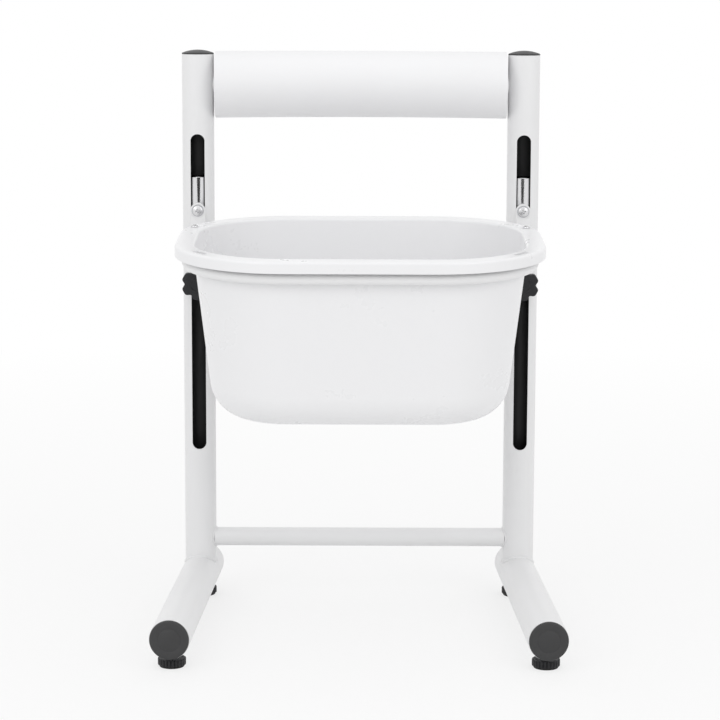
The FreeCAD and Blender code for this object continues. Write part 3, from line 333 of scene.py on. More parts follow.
POWDER_COAT = skin("white_powder_coat", (0.815, 0.815, 0.82), (0.79, 0.79, 0.795),
                   (1100.0, 8.0, 0.1), (0.25, 0.00008), (0.32, 0.40))
ROLL_SKIN = skin("white_roll_skin", (0.86, 0.86, 0.87), (0.83, 0.83, 0.84),
                 (700.0, 7.0, 0.3), (0.25, 0.00015), (0.42, 0.54))
TUB_PLASTIC = skin("white_tub_plastic", (0.845, 0.845, 0.855), (0.832, 0.832, 0.842),
                   (1800.0, 5.0, 0.1), (0.08, 0.00004), (0.26, 0.33))
CAP_GREY = skin("grey_cap_plastic", (0.036, 0.036, 0.037), (0.028, 0.028, 0.029),
                (2600.0, 30.0, 0.2), (0.7, 0.0002), (0.5, 0.62))
CAP_BLACK = skin("black_cap_plastic", (0.030, 0.030, 0.031), (0.022, 0.022, 0.023),
                 (2600.0, 30.0, 0.2), (0.6, 0.0002), (0.38, 0.5))
KNOB_BLACK = skin("black_knob_plastic", (0.024, 0.024, 0.026), (0.016, 0.016, 0.018),
                  (3000.0, 40.0, 0.2), (0.5, 0.0002), (0.42, 0.56), specular=0.3)
# Partly a real glide sleeve, partly painted shade: the post liners' black stands in for the shade
# inside the slotted post tubes.
LINER_PAINTED_SHADE_BLACK = skin("black_liner_plastic", (0.020, 0.020, 0.021), (0.014, 0.014, 0.015),
                   (900.0, 20.0, 0.3), (0.3, 0.0001), (0.42, 0.55))
RUBBER = skin("black_rubber", (0.022, 0.022, 0.022), (0.014, 0.014, 0.014),
              (1800.0, 35.0, 0.3), (0.8, 0.0002), (0.7, 0.85), specular=0.3)
STOPPER_GREY = skin("grey_stopper_rubber", (0.46, 0.47, 0.48), (0.40, 0.41, 0.42),
                    (1800.0, 35.0, 0.3), (0.5, 0.00015), (0.5, 0.62))
DRAIN_WHITE = skin("white_drain_plastic", (0.84, 0.84, 0.85), (0.80, 0.80, 0.81),
                   (1500.0, 20.0, 0.3), (0.2, 0.0001), (0.25, 0.36))
NYLON = skin("white_bush_nylon", (0.72, 0.72, 0.70), (0.66, 0.66, 0.64),
             (1500.0, 30.0, 0.3), (0.3, 0.0001), (0.38, 0.5))
CHROME = skin("slider_chrome", (0.74, 0.74, 0.75), (0.70, 0.70, 0.71),
              (500.0, 6.0, 0.8), (0.05, 0.00005), (0.05, 0.10), metal=1.0)
SCREW_STEEL = skin("bright_screw_steel", (0.72, 0.72, 0.73), (0.62, 0.62, 0.63),
                   (2200.0, 90.0, 0.4), (0.3, 0.00008), (0.16, 0.28), metal=1.0)
ZINC = skin("zinc_plated_steel", (0.58, 0.59, 0.61), (0.48, 0.49, 0.51),
            (2200.0, 70.0, 0.5), (0.3, 0.00008), (0.28, 0.42), metal=1.0)


# ------------------------------------------------------------------ camera, floor and light

LENS = 122.5
CAMERA_BACK = 3.930
CAMERA_HEIGHT = 1.018
CAMERA_PITCH = math.radians(8.93)
CAMERA_ROLL = math.radians(0.2)


def camera():
    data = bpy.data.cameras.new("camera")
    data.lens = LENS
    data.sensor_width = 36.0
    data.clip_end = 60.0
    obj = bpy.data.objects.new("camera", data)
    look = Matrix.Rotation(math.radians(90) - CAMERA_PITCH, 4, "X")
    roll = Matrix.Rotation(CAMERA_ROLL, 4, "Z")
    obj.matrix_world = Matrix.Translation((0, POST_Y - CAMERA_BACK, CAMERA_HEIGHT)) @ look @ roll
    bpy.context.scene.collection.objects.link(obj)
    bpy.context.scene.camera = obj


def floor():
    """A pale studio floor that turns white to the camera but keeps the shadow."""
    bm = bmesh.new()
    bmesh.ops.create_grid(bm, x_segments=8, y_segments=8, size=9.0)
    mesh = bpy.data.meshes.new("studio_floor")
    bm.to_mesh(mesh)
    bm.free()
    obj = bpy.data.objects.new("studio_floor", mesh)
    bpy.context.scene.collection.objects.link(obj)
    material = bpy.data.materials.new("studio_floor")
    material.use_nodes = True
    tree = material.node_tree
    shader = tree.nodes["Principled BSDF"]
    shader.inputs["Base Color"].default_value = (0.86, 0.86, 0.86, 1)
    shader.inputs["Roughness"].default_value = 0.9
    shader.inputs["Specular IOR Level"].default_value = 0.1
    glow = node(tree, "ShaderNodeEmission", Strength=1.0)
    glow.inputs["Color"].default_value = (1, 1, 1, 1)
    where = tree.nodes.new("ShaderNodeTexCoord")
    distance = node(tree, "ShaderNodeVectorMath", operation="LENGTH")
    spread = tree.nodes.new("ShaderNodeMapRange")
    for label, value in zip(("From Min", "From Max", "To Min", "To Max"), (0.5, 3.0, 0.70, 1.0)):
        spread.inputs[label].default_value = value
    share = node(tree, "ShaderNodeMath", operation="MULTIPLY")
    tree.links.new(where.outputs["Object"], distance.inputs[0])
    tree.links.new(distance.outputs["Value"], spread.inputs["Value"])
    tree.links.new(spread.outputs["Result"], share.inputs[0])
    tree.links.new(seen_directly(tree), share.inputs[1])
    mix = tree.nodes.new("ShaderNodeMixShader")
    tree.links.new(share.outputs[0], mix.inputs["Fac"])
    tree.links.new(shader.outputs["BSDF"], mix.inputs[1])
    tree.links.new(glow.outputs["Emission"], mix.inputs[2])
    tree.links.new(mix.outputs["Shader"], tree.nodes["Material Output"].inputs["Surface"])
    obj.data.materials.append(material)


def seen_directly(tree):
    """One for camera, glossy and transmission rays, and nothing for the light itself."""
    path = tree.nodes.new("ShaderNodeLightPath")
    both = node(tree, "ShaderNodeMath", operation="MAXIMUM")
    all_three = node(tree, "ShaderNodeMath", operation="MAXIMUM")
    tree.links.new(path.outputs["Is Camera Ray"], both.inputs[0])
    tree.links.new(path.outputs["Is Glossy Ray"], both.inputs[1])
    tree.links.new(both.outputs[0], all_three.inputs[0])
    tree.links.new(path.outputs["Is Transmission Ray"], all_three.inputs[1])
    return all_three.outputs[0]


def dark_card():
    """A black card behind the camera, seen only in glossy reflections."""
    bm = bmesh.new()
    bmesh.ops.create_grid(bm, x_segments=1, y_segments=1, size=0.5)
    low, high, low_half, high_half = 0.10, 0.46, 0.12, 1.6
    for vert in bm.verts:
        above = vert.co.y > 0
        vert.co.y = high if above else low
        vert.co.x = math.copysign(high_half if above else low_half, vert.co.x)
    place(bm, Matrix.Translation((0, POST_Y - CAMERA_BACK - 0.3, 0)) @ FACING_USER)
    mesh = bpy.data.meshes.new("dark_card")
    bm.to_mesh(mesh)
    bm.free()
    card = bpy.data.objects.new("dark_card", mesh)
    bpy.context.scene.collection.objects.link(card)
    material = bpy.data.materials.new("dark_card")
    material.use_nodes = True
    shader = material.node_tree.nodes["Principled BSDF"]
    shader.inputs["Base Color"].default_value = (0.01, 0.01, 0.01, 1)
    shader.inputs["Roughness"].default_value = 1.0
    card.data.materials.append(material)
    card.visible_camera = False
    card.visible_diffuse = False
    card.visible_shadow = False


def surroundings():
    """White to the eye, and a plain soft light on the object."""
    world = bpy.data.worlds.new("studio")
    world.use_nodes = True
    bpy.context.scene.world = world
    tree = world.node_tree
    light = tree.nodes["Background"]
    light.inputs["Color"].default_value = (1, 1, 1, 1)
    light.inputs["Strength"].default_value = WORLD_LIGHT
    white = tree.nodes.new("ShaderNodeBackground")
    white.inputs["Color"].default_value = (1, 1, 1, 1)
    white.inputs["Strength"].default_value = 1.0
    mix = tree.nodes.new("ShaderNodeMixShader")
    tree.links.new(seen_directly(tree), mix.inputs["Fac"])
    tree.links.new(light.outputs["Background"], mix.inputs[1])
    tree.links.new(white.outputs["Background"], mix.inputs[2])
    tree.links.new(mix.outputs["Shader"], tree.nodes["World Output"].inputs["Surface"])


WORLD_LIGHT = 0.86
LAMPS = [
    # name, place, aimed at, width, height, watts
    ("front_left_softbox", (-2.2, -2.9, 2.3), (0, 0, 0.5), 1.8, 1.8, 20.0),
    ("front_right_softbox", (2.3, -2.7, 2.2), (0, 0, 0.5), 1.8, 1.8, 16.0),
    ("overhead_softbox", (0.0, -0.3, 3.2), (0, 0, 0.4), 2.2, 2.2, 6.0),
]


def lamps():
    for name, spot, target, width, height, watts in LAMPS:
        data = bpy.data.lights.new(name, "AREA")
        data.shape = "RECTANGLE"
        data.size, data.size_y = width, height
        data.energy = watts
        obj = bpy.data.objects.new(name, data)
        aim = (Vector(target) - Vector(spot)).to_track_quat("-Z", "Y")
        obj.matrix_world = Matrix.Translation(spot) @ aim.to_matrix().to_4x4()
        bpy.context.scene.collection.objects.link(obj)


# ------------------------------------------------------------------ posts

def post(side, sign):
    """A steel tube with a slot down its front."""
    bm = bmesh.new()
    low = FOOT_AXIS + FOOT_R * 0.4
    lathe(bm, ring_profile(POST_R, POST_R - POST_WALL, low, POST_TOP, 0.3 * MM), 96)
    place(bm, Matrix.Translation((sign * POST_X, POST_Y, 0)))
    tube = piece(f"{side}_post_tube", bm, "frame", POWDER_COAT, [f"{side}_post"])
    slot_bm = bmesh.new()
    face = stadium(slot_bm, SLOT_HALF, SLOT_LOW, SLOT_HIGH)
    extrude_face(slot_bm, face, (0, 0, POST_R * 1.5))
    place(slot_bm, Matrix.Translation((sign * POST_X, POST_Y, 0)) @ FACING_USER)
    carve(tube, [cutter("slot_tool", slot_bm)])
    steady_normals(tube)


def post_cap(side, sign):
    """A low dome with a thin edge that sits on the post."""
    bm = bmesh.new()
    rim, rise = 2 * MM, 5 * MM
    ball = (POST_R ** 2 + rise ** 2) / (2 * rise)
    edge = math.degrees(math.asin(POST_R / ball))
    dome = arc((0, rim + rise - ball), ball, 90 - edge * 0.96, 90, 14)
    lathe(bm, [(POST_R - 2.2 * MM, -15 * MM), (POST_R - 2.1 * MM, 0), (POST_R - 0.3 * MM, 0),
               (POST_R, 0.4 * MM), (POST_R, rim - 0.4 * MM)] + dome, 72)
    place(bm, Matrix.Translation((sign * POST_X, POST_Y, POST_TOP)))
    piece(f"{side}_post_dome", bm, "frame", CAP_BLACK, [f"{side}_post_cap"])


def weld(name, points, body, thickness, closed=True):
    """A ground weld bead along a joint between two tubes."""
    curve = bpy.data.curves.new(name, "CURVE")
    curve.dimensions = "3D"
    curve.bevel_depth = thickness
    curve.bevel_resolution = 3
    line = curve.splines.new("NURBS")
    line.points.add(len(points) - 1)
    for index, point in enumerate(points):
        line.points[index].co = (*point, 1)
    line.use_cyclic_u = closed
    line.order_u = 4
    made = bpy.data.objects.new(name, curve)
    bpy.context.scene.collection.objects.link(made)
    bpy.context.view_layer.update()
    mesh = bpy.data.meshes.new_from_object(made.evaluated_get(
        bpy.context.evaluated_depsgraph_get()))
    bpy.data.objects.remove(made)
    mesh.shade_smooth()
    bead = bpy.data.objects.new(name, mesh)
    bpy.context.scene.collection.objects.link(bead)
    mesh.materials.clear()
    mesh.materials.append(POWDER_COAT)
    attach(bead, body)


def saddle_weld(side, sign):
    """Where the post stands on its foot tube."""
    steps = 48
    along = Vector((math.sin(sign * FOOT_SPLAY), -math.cos(FOOT_SPLAY), 0))
    points = []
    for step in range(steps):
        angle = FULL_TURN * step / steps
        across = Vector((math.cos(angle), math.sin(angle), 0)) * (POST_R + 0.4 * MM)
        off_axis = (across - along * across.dot(along)).length
        height = FOOT_AXIS + math.sqrt(max((FOOT_R + 0.4 * MM) ** 2 - off_axis ** 2, 0))
        points.append((sign * POST_X + across.x, POST_Y + across.y, height))
    weld(f"{side}_foot_weld", points, "frame", 2.0 * MM)


def bar_weld(name, sign, height, radius, thickness):
    """Where a bar of round section meets the inner side of a post."""
    steps = 36
    points = []
    for step in range(steps):
        angle = FULL_TURN * step / steps
        y, z = math.cos(angle) * (radius + 0.3 * MM), math.sin(angle) * (radius + 0.3 * MM)
        x = POST_X - math.sqrt((POST_R + 0.3 * MM) ** 2 - y ** 2)
        points.append((sign * x, POST_Y + y, height + z))
    weld(name, points, "frame", thickness)


# ------------------------------------------------------------------ bars and roll

def lower_crossbar():
    low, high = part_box("lower_crossbar")
    radius = (high.z - low.z) / 2
    height = (high.z + low.z) / 2
    reach = POST_X - POST_R * 0.9
    bm = bmesh.new()
    lathe(bm, ring_profile(radius, radius - 2 * MM, -reach, reach, 0.2 * MM), 48)
    place(bm, Matrix.Translation((0, POST_Y, height)) @ Matrix.Rotation(math.radians(90), 4, "Y"))
    piece("lower_crossbar_tube", bm, "frame", POWDER_COAT, ["lower_crossbar"])
    for side, sign in SIDES:
        bar_weld(f"{side}_crossbar_weld", sign, height, radius, 1.5 * MM)


def top_roll():
    """A thick bowed roll with flat ends, spun about the middle of its bow."""
    low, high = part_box("top_roll")
    radius = 53 * MM
    height = (low.z + high.z) / 2
    end = high.x
    bow = 38 * MM
    sweep = (POST_X ** 2 + bow ** 2) / (2 * bow)
    centre = Vector((0, POST_Y + bow - sweep, height))
    bm = bmesh.new()
    ring = bmesh.ops.create_circle(bm, cap_ends=False, radius=radius, segments=96)["verts"]
    start = math.asin(min((end + radius) / sweep, 1.0))
    turn = Matrix.Rotation(start, 4, "Z")
    upright = Matrix.Rotation(math.radians(90), 4, "Y")
    place(bm, Matrix.Translation(centre) @ turn @ Matrix.Translation((0, sweep, 0)) @ upright)
    edges = list({edge for vert in ring for edge in vert.link_edges})
    bmesh.ops.spin(bm, geom=ring + edges, cent=centre, axis=(0, 0, 1), angle=-2 * start,
                   steps=72, use_merge=False, use_duplicate=False)
    for sign in (-1, 1):
        everything = list(bm.verts) + list(bm.edges) + list(bm.faces)
        made = bmesh.ops.bisect_plane(bm, geom=everything, plane_co=(sign * end, 0, 0),
                                      plane_no=(sign, 0, 0), clear_outer=True)
        rim = [item for item in made["geom_cut"] if isinstance(item, bmesh.types.BMEdge)]
        bmesh.ops.edgeloop_fill(bm, edges=rim)
        soften(bm, rim, 4 * MM, 5)
    roll = piece("top_roll_cover", bm, "frame", ROLL_SKIN, ["top_roll"], 40)
    steady_normals(roll)


# ------------------------------------------------------------------ feet

def foot_space(sign):
    """The foot tube's own space: its axis is Z, towards the user."""
    return (Matrix.Translation((sign * POST_X, POST_Y, FOOT_AXIS))
            @ Matrix.Rotation(sign * FOOT_SPLAY, 4, "Z") @ FACING_USER)


def foot_tube(side, sign):
    bm = bmesh.new()
    lathe(bm, ring_profile(FOOT_R, FOOT_R - 2 * MM, -FOOT_REAR, FOOT_FRONT, 0.4 * MM), 96)
    place(bm, foot_space(sign))
    piece(f"{side}_foot_pipe", bm, "frame", POWDER_COAT, [f"{side}_foot_tube"])


def foot_cap(side, sign, end):
    """A round plug with a softened edge and a faint moulded ring."""
    bm = bmesh.new()
    radius = FOOT_R - 0.7 * MM
    edge, soft = 5 * MM, 2.5 * MM
    profile = [(FOOT_R - 4 * MM, -13 * MM), (FOOT_R - 2.2 * MM, -13 * MM),
               (FOOT_R - 2.2 * MM, 0.1 * MM), (radius - 0.3 * MM, 0.1 * MM), (radius, 0.5 * MM)]
    profile += arc((radius - soft, edge - soft), soft, 0, 90, 6)
    profile += [(radius * 0.62, edge - 0.05 * MM), (radius * 0.60, edge - 0.45 * MM),
                (radius * 0.56, edge - 0.45 * MM), (radius * 0.54, edge - 0.05 * MM), (0, edge)]
    lathe(bm, profile, 72)
    reach = FOOT_FRONT if end == "front" else FOOT_REAR
    turn = Matrix.Identity(4) if end == "front" else Matrix.Rotation(math.pi, 4, "X")
    place(bm, foot_space(sign) @ turn @ Matrix.Translation((0, 0, reach)))
    piece(f"{end}_{side}_foot_plug", bm, "frame", CAP_GREY, [f"{end}_{side}_foot_cap"])


def levelling_pad(foot):
    """A pad with a notched edge to turn by hand, and its threaded spindle."""
    low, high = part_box(f"{foot}_pad")
    spot = (low + high) / 2
    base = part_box(f"{foot}_sole")[1].z + 0.1 * MM
    radius, height = 21 * MM, 10 * MM
    bm = bmesh.new()
    notches, fine = 24, 8
    face = disc_face(bm, radius, notches * fine)
    face = extrude_face(bm, face, (0, 0, height))
    for vert in bm.verts:
        wave = math.cos(math.atan2(vert.co.y, vert.co.x) * notches)
        deep = max(wave, 0) ** 1.5 * 1.6 * MM
        vert.co.xy *= 1 - deep / radius
    bmesh.ops.recalc_face_normals(bm, faces=bm.faces)
    soften(bm, level_edges(bm, height) + level_edges(bm, 0), 1.0 * MM, 3)
    place(bm, Matrix.Translation((spot.x, spot.y, base)))
    piece(f"{foot}_knurled_pad", bm, f"{foot}_pad", KNOB_BLACK, [f"{foot}_pad"])
    bm = bmesh.new()
    threaded_rod(bm, 5 * MM, 28 * MM, 1.5 * MM)
    place(bm, Matrix.Translation((spot.x, spot.y, base + height)))
    piece(f"{foot}_spindle", bm, f"{foot}_pad", ZINC, ())
    bm = bmesh.new()
    sole_low, sole_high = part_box(f"{foot}_sole")
    sole = (sole_high.x - sole_low.x) / 2
    lathe(bm, [(0, 0), (sole - 0.6 * MM, 0), (sole, 0.6 * MM), (sole, sole_high.z - 0.3 * MM),
               (sole - 0.3 * MM, sole_high.z), (0, sole_high.z)], 64)
    place(bm, Matrix.Translation((spot.x, spot.y, 0)))
    piece(f"{foot}_rubber_sole", bm, f"{foot}_sole", RUBBER, [f"{foot}_sole"])


def threaded_rod(bm, radius, length, pitch):
    """A rod with a ridge for each turn of its thread."""
    profile = [(0, 0)]
    turns = int(length / pitch)
    for turn in range(turns):
        base = turn * pitch
        profile += [(radius * 0.88, base + 0.15 * pitch), (radius, base + 0.5 * pitch),
                    (radius * 0.88, base + 0.85 * pitch)]
    profile += [(radius * 0.8, turns * pitch), (0, turns * pitch)]
    lathe(bm, profile, 32)


# ------------------------------------------------------------------ carriage

def slider(side, sign):
    """The chrome tube in the post, with turned edges."""
    low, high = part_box(f"{side}_slider")
    radius = (high.x - low.x) / 2
    bm = bmesh.new()
    lathe(bm, ring_profile(radius, radius - 3 * MM, low.z, high.z, 0.6 * MM), 96)
    place(bm, Matrix.Translation((sign * POST_X, POST_Y, 0)))
    piece(f"{side}_slider_tube", bm, "carriage", CHROME, [f"{side}_slider"])


def strap(side):
    """A flat bar with half-round ends and broken edges."""
    low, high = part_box(f"{side}_strap")
    spot = (low + high) / 2
    half, thick = (high.x - low.x) / 2, high.y - low.y
    bm = bmesh.new()
    face = stadium(bm, half, low.z, high.z)
    extrude_face(bm, face, (0, 0, thick))
    bmesh.ops.recalc_face_normals(bm, faces=bm.faces)
    soften(bm, level_edges(bm, thick) + level_edges(bm, 0), 0.8 * MM, 3)
    place(bm, Matrix.Translation((spot.x, high.y, 0)) @ FACING_USER)
    bar = piece(f"{side}_strap_bar", bm, "carriage", POWDER_COAT, [f"{side}_strap"])
    steady_normals(bar)


def pan_screw(name, radius, rise, matrix, body, stands_for=()):
    """A pan head with a cross recess, standing on Z = 0."""
    bm = bmesh.new()
    soft = rise * 0.55
    ball = radius * 1.9
    crown = math.degrees(math.asin((radius - soft) / ball))
    profile = [(0, -2 * MM), (radius * 0.45, -2 * MM), (radius * 0.45, 0), (radius - 0.2 * MM, 0)]
    profile += arc((radius - soft, rise - soft - 0.4 * MM), soft, 0, 90 - crown, 6)
    top = profile[-1][1]
    centre = top - ball * math.cos(math.radians(crown))
    profile += arc((0, centre), ball, 90 - crown, 90, 6)[1:]
    lathe(bm, profile, 48)
    place(bm, matrix)
    screw = piece(name, bm, body, SCREW_STEEL, stands_for)
    tools = []
    for turn in (0, 90):
        tool = bmesh.new()
        bmesh.ops.create_cube(tool, size=1.0)
        bmesh.ops.scale(tool, vec=(radius * 1.05, radius * 0.24, rise), verts=tool.verts)
        for vert in tool.verts:
            if vert.co.z < 0:
                vert.co.x *= 0.45
        shift = Matrix.Translation((0, 0, top + rise * 0.02))
        place(tool, matrix @ Matrix.Rotation(math.radians(turn), 4, "Z") @ shift)
        tools.append(cutter("recess_tool", tool))
    carve(screw, tools, 30)
    return screw


def strap_screws():
    low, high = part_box("strap_screws")
    height = (low.z + high.z) / 2
    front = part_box("left_strap")[0].y
    for index, (side, sign) in enumerate(SIDES):
        where = Matrix.Translation((sign * POST_X, front, height)) @ FACING_USER
        spin = Matrix.Rotation(math.radians(18), 4, "Z")
        stands_for = ["strap_screws"] if index == 0 else ()
        pan_screw(f"{side}_strap_screw", 8.5 * MM, 5 * MM, where @ spin, "carriage", stands_for)
        bm = bmesh.new()
        lathe(bm, ring_profile(9.6 * MM, 4.4 * MM, 0, 0.9 * MM, 0.25 * MM), 48)
        place(bm, where)
        piece(f"{side}_strap_screw_washer", bm, "carriage", ZINC, ())


def rim_screws():
    """Bright screws through the rim's rear corners, set on the flange."""
    low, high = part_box("rim_screws")
    reach = (high.x - low.x) / 2 - 6 * MM
    back = 122 * MM
    for index, (side, sign) in enumerate(SIDES):
        where = TUB_SPACE @ Matrix.Translation((sign * reach, -back, 0.1 * MM))
        stands_for = ["rim_screws"] if index == 0 else ()
        pan_screw(f"{side}_rim_screw", 6 * MM, 3.4 * MM, where, "carriage", stands_for)


def star_knob(side, sign):
    """Six lobes with shallow hollows between them, on a round hub."""
    low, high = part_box(f"{side}_star_knob")
    height = (low.z + high.z) / 2
    washer_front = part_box(f"{side}_knob_washer")[0].y
    hub, thick = 8 * MM, 19 * MM
    lobes, radius, deep, boss = 6, 25 * MM, 5 * MM, 1.2 * MM
    hollow_half = math.radians(20)
    bm = bmesh.new()
    face = disc_face(bm, radius, 180)
    for vert in face.verts:
        turn = math.remainder(math.atan2(vert.co.y, vert.co.x), FULL_TURN / lobes)
        if abs(turn) < hollow_half:
            vert.co.xy *= 1 - deep / radius * math.cos(turn / hollow_half * math.pi / 2) ** 2
    bmesh.ops.translate(bm, verts=bm.verts, vec=(0, 0, hub))
    extrude_face(bm, face, (0, 0, thick - boss))
    bmesh.ops.recalc_face_normals(bm, faces=bm.faces)
    soften(bm, level_edges(bm, hub + thick - boss), 1.8 * MM, 4)
    soften(bm, level_edges(bm, hub), 1.0 * MM, 2)
    front = hub + thick
    lathe(bm, [(0, front - 3 * MM), (13 * MM, front - 3 * MM), (13 * MM, front - 0.8 * MM),
               (12.2 * MM, front), (10.5 * MM, front), (9.8 * MM, front - 0.6 * MM),
               (0, front - 0.6 * MM)], 48)
    lathe(bm, [(0, hub + 2 * MM), (11.3 * MM, hub + 2 * MM), (11.3 * MM, 3 * MM),
               (12 * MM, 1.6 * MM), (12 * MM, 0.4 * MM), (11.6 * MM, 0), (0, 0)], 48)
    place(bm, Matrix.Translation((sign * POST_X, washer_front - 0.1 * MM, height)) @ FACING_USER)
    piece(f"{side}_knob_head", bm, f"{side}_knob", KNOB_BLACK, [f"{side}_star_knob"],
          30)
    bm = bmesh.new()
    threaded_rod(bm, 5 * MM, 27 * MM, 1.5 * MM)
    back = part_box(f"{side}_knob_stud")[1].y
    place(bm, Matrix.Translation((sign * POST_X, back, height)) @ FACING_USER)
    piece(f"{side}_knob_thread", bm, f"{side}_knob", ZINC, [f"{side}_knob_stud"])


def support_hoop():
    """A tube bent round the tub under its lip: straight, corner, straight, corner, straight."""
    radius = 9 * MM
    side = RIM_WIDTH / 2 - 19.5 * MM
    front = RIM_DEPTH - 19.5 * MM
    corner = RIM_CORNER - 19.5 * MM
    down = LIP + 0.5 * MM + radius
    to_tub = TUB_SPACE.inverted()
    rear = (to_tub @ Vector((0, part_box("left_strap")[0].y, middle("hoop_rear_bar").z))).y
    bm = bmesh.new()
    ring = bmesh.ops.create_circle(bm, cap_ends=False, radius=radius, segments=40)["verts"]
    place(bm, Matrix.Translation((-side, rear, -down)) @ FACING_USER)
    edges = list({edge for vert in ring for edge in vert.link_edges})

    def straight(edges, offset):
        made = bmesh.ops.extrude_edge_only(bm, edges=edges)["geom"]
        bmesh.ops.translate(bm, vec=offset,
                            verts=[item for item in made if isinstance(item, bmesh.types.BMVert)])
        return [item for item in made if isinstance(item, bmesh.types.BMEdge)
                and len(item.link_faces) == 1]

    def bend(edges, centre):
        verts = list({vert for edge in edges for vert in edge.verts})
        made = bmesh.ops.spin(bm, geom=verts + edges, cent=centre, axis=(0, 0, 1),
                              angle=math.radians(90), steps=24, use_merge=False,
                              use_duplicate=False)["geom_last"]
        return [item for item in made if isinstance(item, bmesh.types.BMEdge)]

    edges = straight(edges, (0, -front + corner - rear, 0))
    edges = bend(edges, (-side + corner, -front + corner, -down))
    edges = straight(edges, (2 * (side - corner), 0, 0))
    edges = bend(edges, (side - corner, -front + corner, -down))
    straight(edges, (0, front - corner + rear, 0))
    place(bm, TUB_SPACE)
    piece("support_hoop_tube", bm, "carriage", POWDER_COAT, ["support_hoop"],
          60)
    bm = bmesh.new()
    lathe(bm, ring_profile(radius, radius - 1.5 * MM, -side, side, 0.2 * MM), 40)
    place(bm, TUB_SPACE @ Matrix.Translation((0, -18 * MM, -down))
          @ Matrix.Rotation(math.radians(90), 4, "Y"))
    piece("hoop_rear_tube", bm, "carriage", POWDER_COAT, ["hoop_rear_bar"])
    for name, sign in SIDES:
        hoop_weld(name, sign, side, rear, down, radius)


def hoop_weld(name, sign, side, rear, down, radius):
    """A bead where the hoop meets its strap."""
    steps = 32
    centre = TUB_SPACE @ Vector((sign * side, rear, -down))
    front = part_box("left_strap")[0].y
    points = []
    for step in range(steps):
        angle = FULL_TURN * step / steps
        points.append((centre.x + math.cos(angle) * (radius + 0.3 * MM), front - 0.6 * MM,
                       centre.z + math.sin(angle) * (radius + 0.3 * MM)))
    weld(f"{name}_hoop_weld", points, "carriage", 1.5 * MM)


# ------------------------------------------------------------------ tub

def rounded_face(bm, width, depth, corner, segments=20):
    """A flat face with round corners, its rear edge on the X axis."""
    bmesh.ops.create_grid(bm, x_segments=1, y_segments=1, size=0.5)
    bmesh.ops.scale(bm, vec=(width, depth, 1), verts=bm.verts)
    bmesh.ops.translate(bm, vec=(0, -depth / 2, 0), verts=bm.verts)
    bmesh.ops.bevel(bm, geom=list(bm.verts), offset=corner, segments=segments, profile=0.5,
                    affect="VERTICES", material=-1)
    bm.faces.ensure_lookup_table()
    return bm.faces[0]


def sink(bm, face, inward, down):
    """Carry a face inwards and down, leaving a band of wall behind it."""
    bmesh.ops.inset_region(bm, faces=[face], thickness=inward, depth=0.0,
                           use_even_offset=True, use_boundary=True)
    bmesh.ops.translate(bm, verts=face.verts, vec=(0, 0, -down))


def tub():
    """One moulding: flat flange, drafted basin with a round bottom edge, and a lip all round."""
    bm = bmesh.new()
    face = rounded_face(bm, RIM_WIDTH, RIM_DEPTH, RIM_CORNER, 32)
    sink(bm, face, FLANGE, 0)
    straight = TUB_DEPTH - TUB_WALL - TUB_ROUND * (1 - math.sin(TUB_DRAFT))
    bands = 6
    for _ in range(bands):
        sink(bm, face, straight / bands * math.tan(TUB_DRAFT), straight / bands)
    steps = 14
    reached = Vector((0, 0))
    for step in range(1, steps + 1):
        angle = TUB_DRAFT + (math.pi / 2 - TUB_DRAFT) * step / steps
        spot = Vector((TUB_ROUND * (math.cos(TUB_DRAFT) - math.cos(angle)),
                       TUB_ROUND * (math.sin(angle) - math.sin(TUB_DRAFT))))
        sink(bm, face, spot.x - reached.x, spot.y - reached.y)
        reached = spot
    bm.normal_update()
    floor_level = face.verts[0].co.z
    inner = [edge for edge in level_edges(bm, 0) if not edge.is_boundary
             and any(abs(side.normal.z) < 0.5 for side in edge.link_faces)]
    soften(bm, inner, 4 * MM, 5)
    outer = [edge for edge in bm.edges if edge.is_boundary]
    lip = bmesh.ops.extrude_edge_only(bm, edges=outer)["geom"]
    hem = [item for item in lip if isinstance(item, bmesh.types.BMVert)]
    bmesh.ops.translate(bm, verts=hem, vec=(0, 0, -LIP))
    soften(bm, outer, RIM_ROUND, 6)
    bmesh.ops.recalc_face_normals(bm, faces=bm.faces)
    if max(bm.faces, key=lambda item: item.calc_area()).normal.z < 0:
        bmesh.ops.reverse_faces(bm, faces=bm.faces)
    place(bm, TUB_SPACE)
    basin = piece("tub_moulding", bm, "carriage", TUB_PLASTIC, ["tub"], 40,
                  turn_faces=False)
    wall = basin.modifiers.new("wall", "SOLIDIFY")
    wall.thickness = TUB_WALL
    wall.offset = -1
    wall.use_even_offset = True
    carve(basin, tub_tools(floor_level), 40)
    steady_normals(basin)


def tub_tools(floor_level):
    """Solids for the rim slots and the drain hole."""
    tools = []
    for _, sign in SIDES:
        bm = bmesh.new()
        face = stadium(bm, 4 * MM, -17 * MM, 17 * MM)
        extrude_face(bm, face, (0, 0, 12 * MM))
        corner = Matrix.Translation((sign * (RIM_WIDTH / 2 - RIM_CORNER),
                                     RIM_CORNER - RIM_DEPTH, -6 * MM))
        turn = Matrix.Rotation(math.radians(-sign * 35), 4, "Z")
        out = Matrix.Translation((sign * (RIM_CORNER - FLANGE / 2), 0, 0))
        place(bm, TUB_SPACE @ corner @ turn @ out)
        tools.append(cutter("slot_tool", bm))
    bm = bmesh.new()
    face = disc_face(bm, 22.4 * MM, 64)
    extrude_face(bm, face, (0, 0, 40 * MM))
    place(bm, TUB_SPACE @ Matrix.Translation((0, -RIM_DEPTH / 2, floor_level - 20 * MM)))
    tools.append(cutter("drain_tool", bm))
    return tools


# ------------------------------------------------------------------ drain

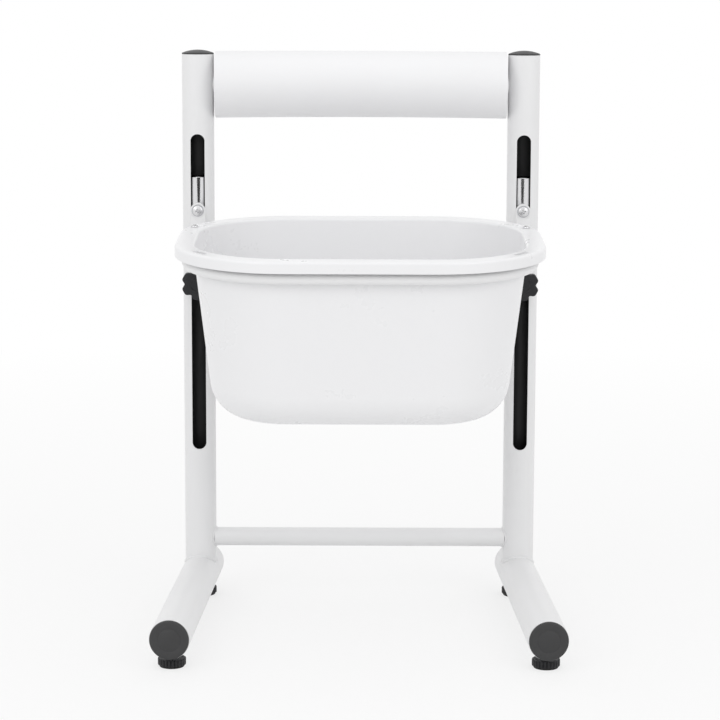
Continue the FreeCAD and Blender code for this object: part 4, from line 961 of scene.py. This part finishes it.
def drain():
    level = TUB_SPACE @ Matrix.Translation((0, -RIM_DEPTH / 2, -(TUB_DEPTH - TUB_WALL)))
    bore, outer = 19 * MM, 22 * MM
    bm = bmesh.new()
    flange = [(outer, 0.3 * MM), (32.4 * MM, 0.3 * MM)]
    flange += arc((31.5 * MM, 1.8 * MM), 1.5 * MM, 0, 90, 5)
    flange += [(24 * MM, 3.1 * MM), (20.5 * MM, 2.6 * MM), (bore, 1.2 * MM)]
    lathe(bm, [(bore, -25 * MM), (outer, -25 * MM)] + flange + [(bore, -25 * MM)], 72)
    place(bm, level)
    piece("drain_throat", bm, "carriage", DRAIN_WHITE, ["drain_fitting"])
    bm = bmesh.new()
    seat = 3.6 * MM
    profile = [(0, seat - 12 * MM), (15.6 * MM, seat - 12 * MM), (18.6 * MM, seat - 0.3 * MM)]
    profile += [(25.4 * MM, seat)] + arc((24.6 * MM, seat + 3.4 * MM), 1.4 * MM, 0, 90, 5)
    profile += [(10 * MM, seat + 5 * MM), (6.4 * MM, seat + 5.8 * MM), (5.2 * MM, seat + 8 * MM),
                (5.2 * MM, seat + 11 * MM), (6.8 * MM, seat + 13 * MM)]
    profile += arc((5.2 * MM, seat + 15.2 * MM), 1.7 * MM, 0, 90, 5) + [(0, seat + 17 * MM)]
    lathe(bm, profile, 64)
    place(bm, level)
    piece("stopper_plug", bm, "stopper", STOPPER_GREY, ["drain_stopper"])


# ------------------------------------------------------------------ CAD nodes that stay

KEPT = {
    # The post liners' black is partly painted shade for the inside of the posts.
    "left_post_liner": LINER_PAINTED_SHADE_BLACK, "right_post_liner": LINER_PAINTED_SHADE_BLACK, "upper_crossbar": POWDER_COAT,
    "foot_inserts": ZINC, "lock_nuts": ZINC, "slot_bushes": NYLON, "screw_nuts": ZINC,
    "clamp_nuts": ZINC, "hoop_lugs": POWDER_COAT, "drain_gasket": RUBBER,
    "drain_nut": DRAIN_WHITE, "left_knob_washer": ZINC, "right_knob_washer": ZINC,
}


def dress_kept_nodes():
    for name, material in KEPT.items():
        obj = frame["nodes"][name]
        obj.data.materials.clear()
        obj.data.materials.append(material)
        for polygon in obj.data.polygons:
            polygon.material_index = 0


# ------------------------------------------------------------------ the whole

def build():
    camera()
    floor()
    dark_card()
    surroundings()
    lamps()
    for side, sign in SIDES:
        post(side, sign)
        post_cap(side, sign)
        saddle_weld(side, sign)
        foot_tube(side, sign)
        for end in ("front", "rear"):
            foot_cap(side, sign, end)
        slider(side, sign)
        strap(side)
        star_knob(side, sign)
    lower_crossbar()
    top_roll()
    for foot in FEET:
        levelling_pad(foot)
    strap_screws()
    rim_screws()
    support_hoop()
    tub()
    drain()
    dress_kept_nodes()


build()
bpy.context.scene.view_settings.view_transform = "Standard"
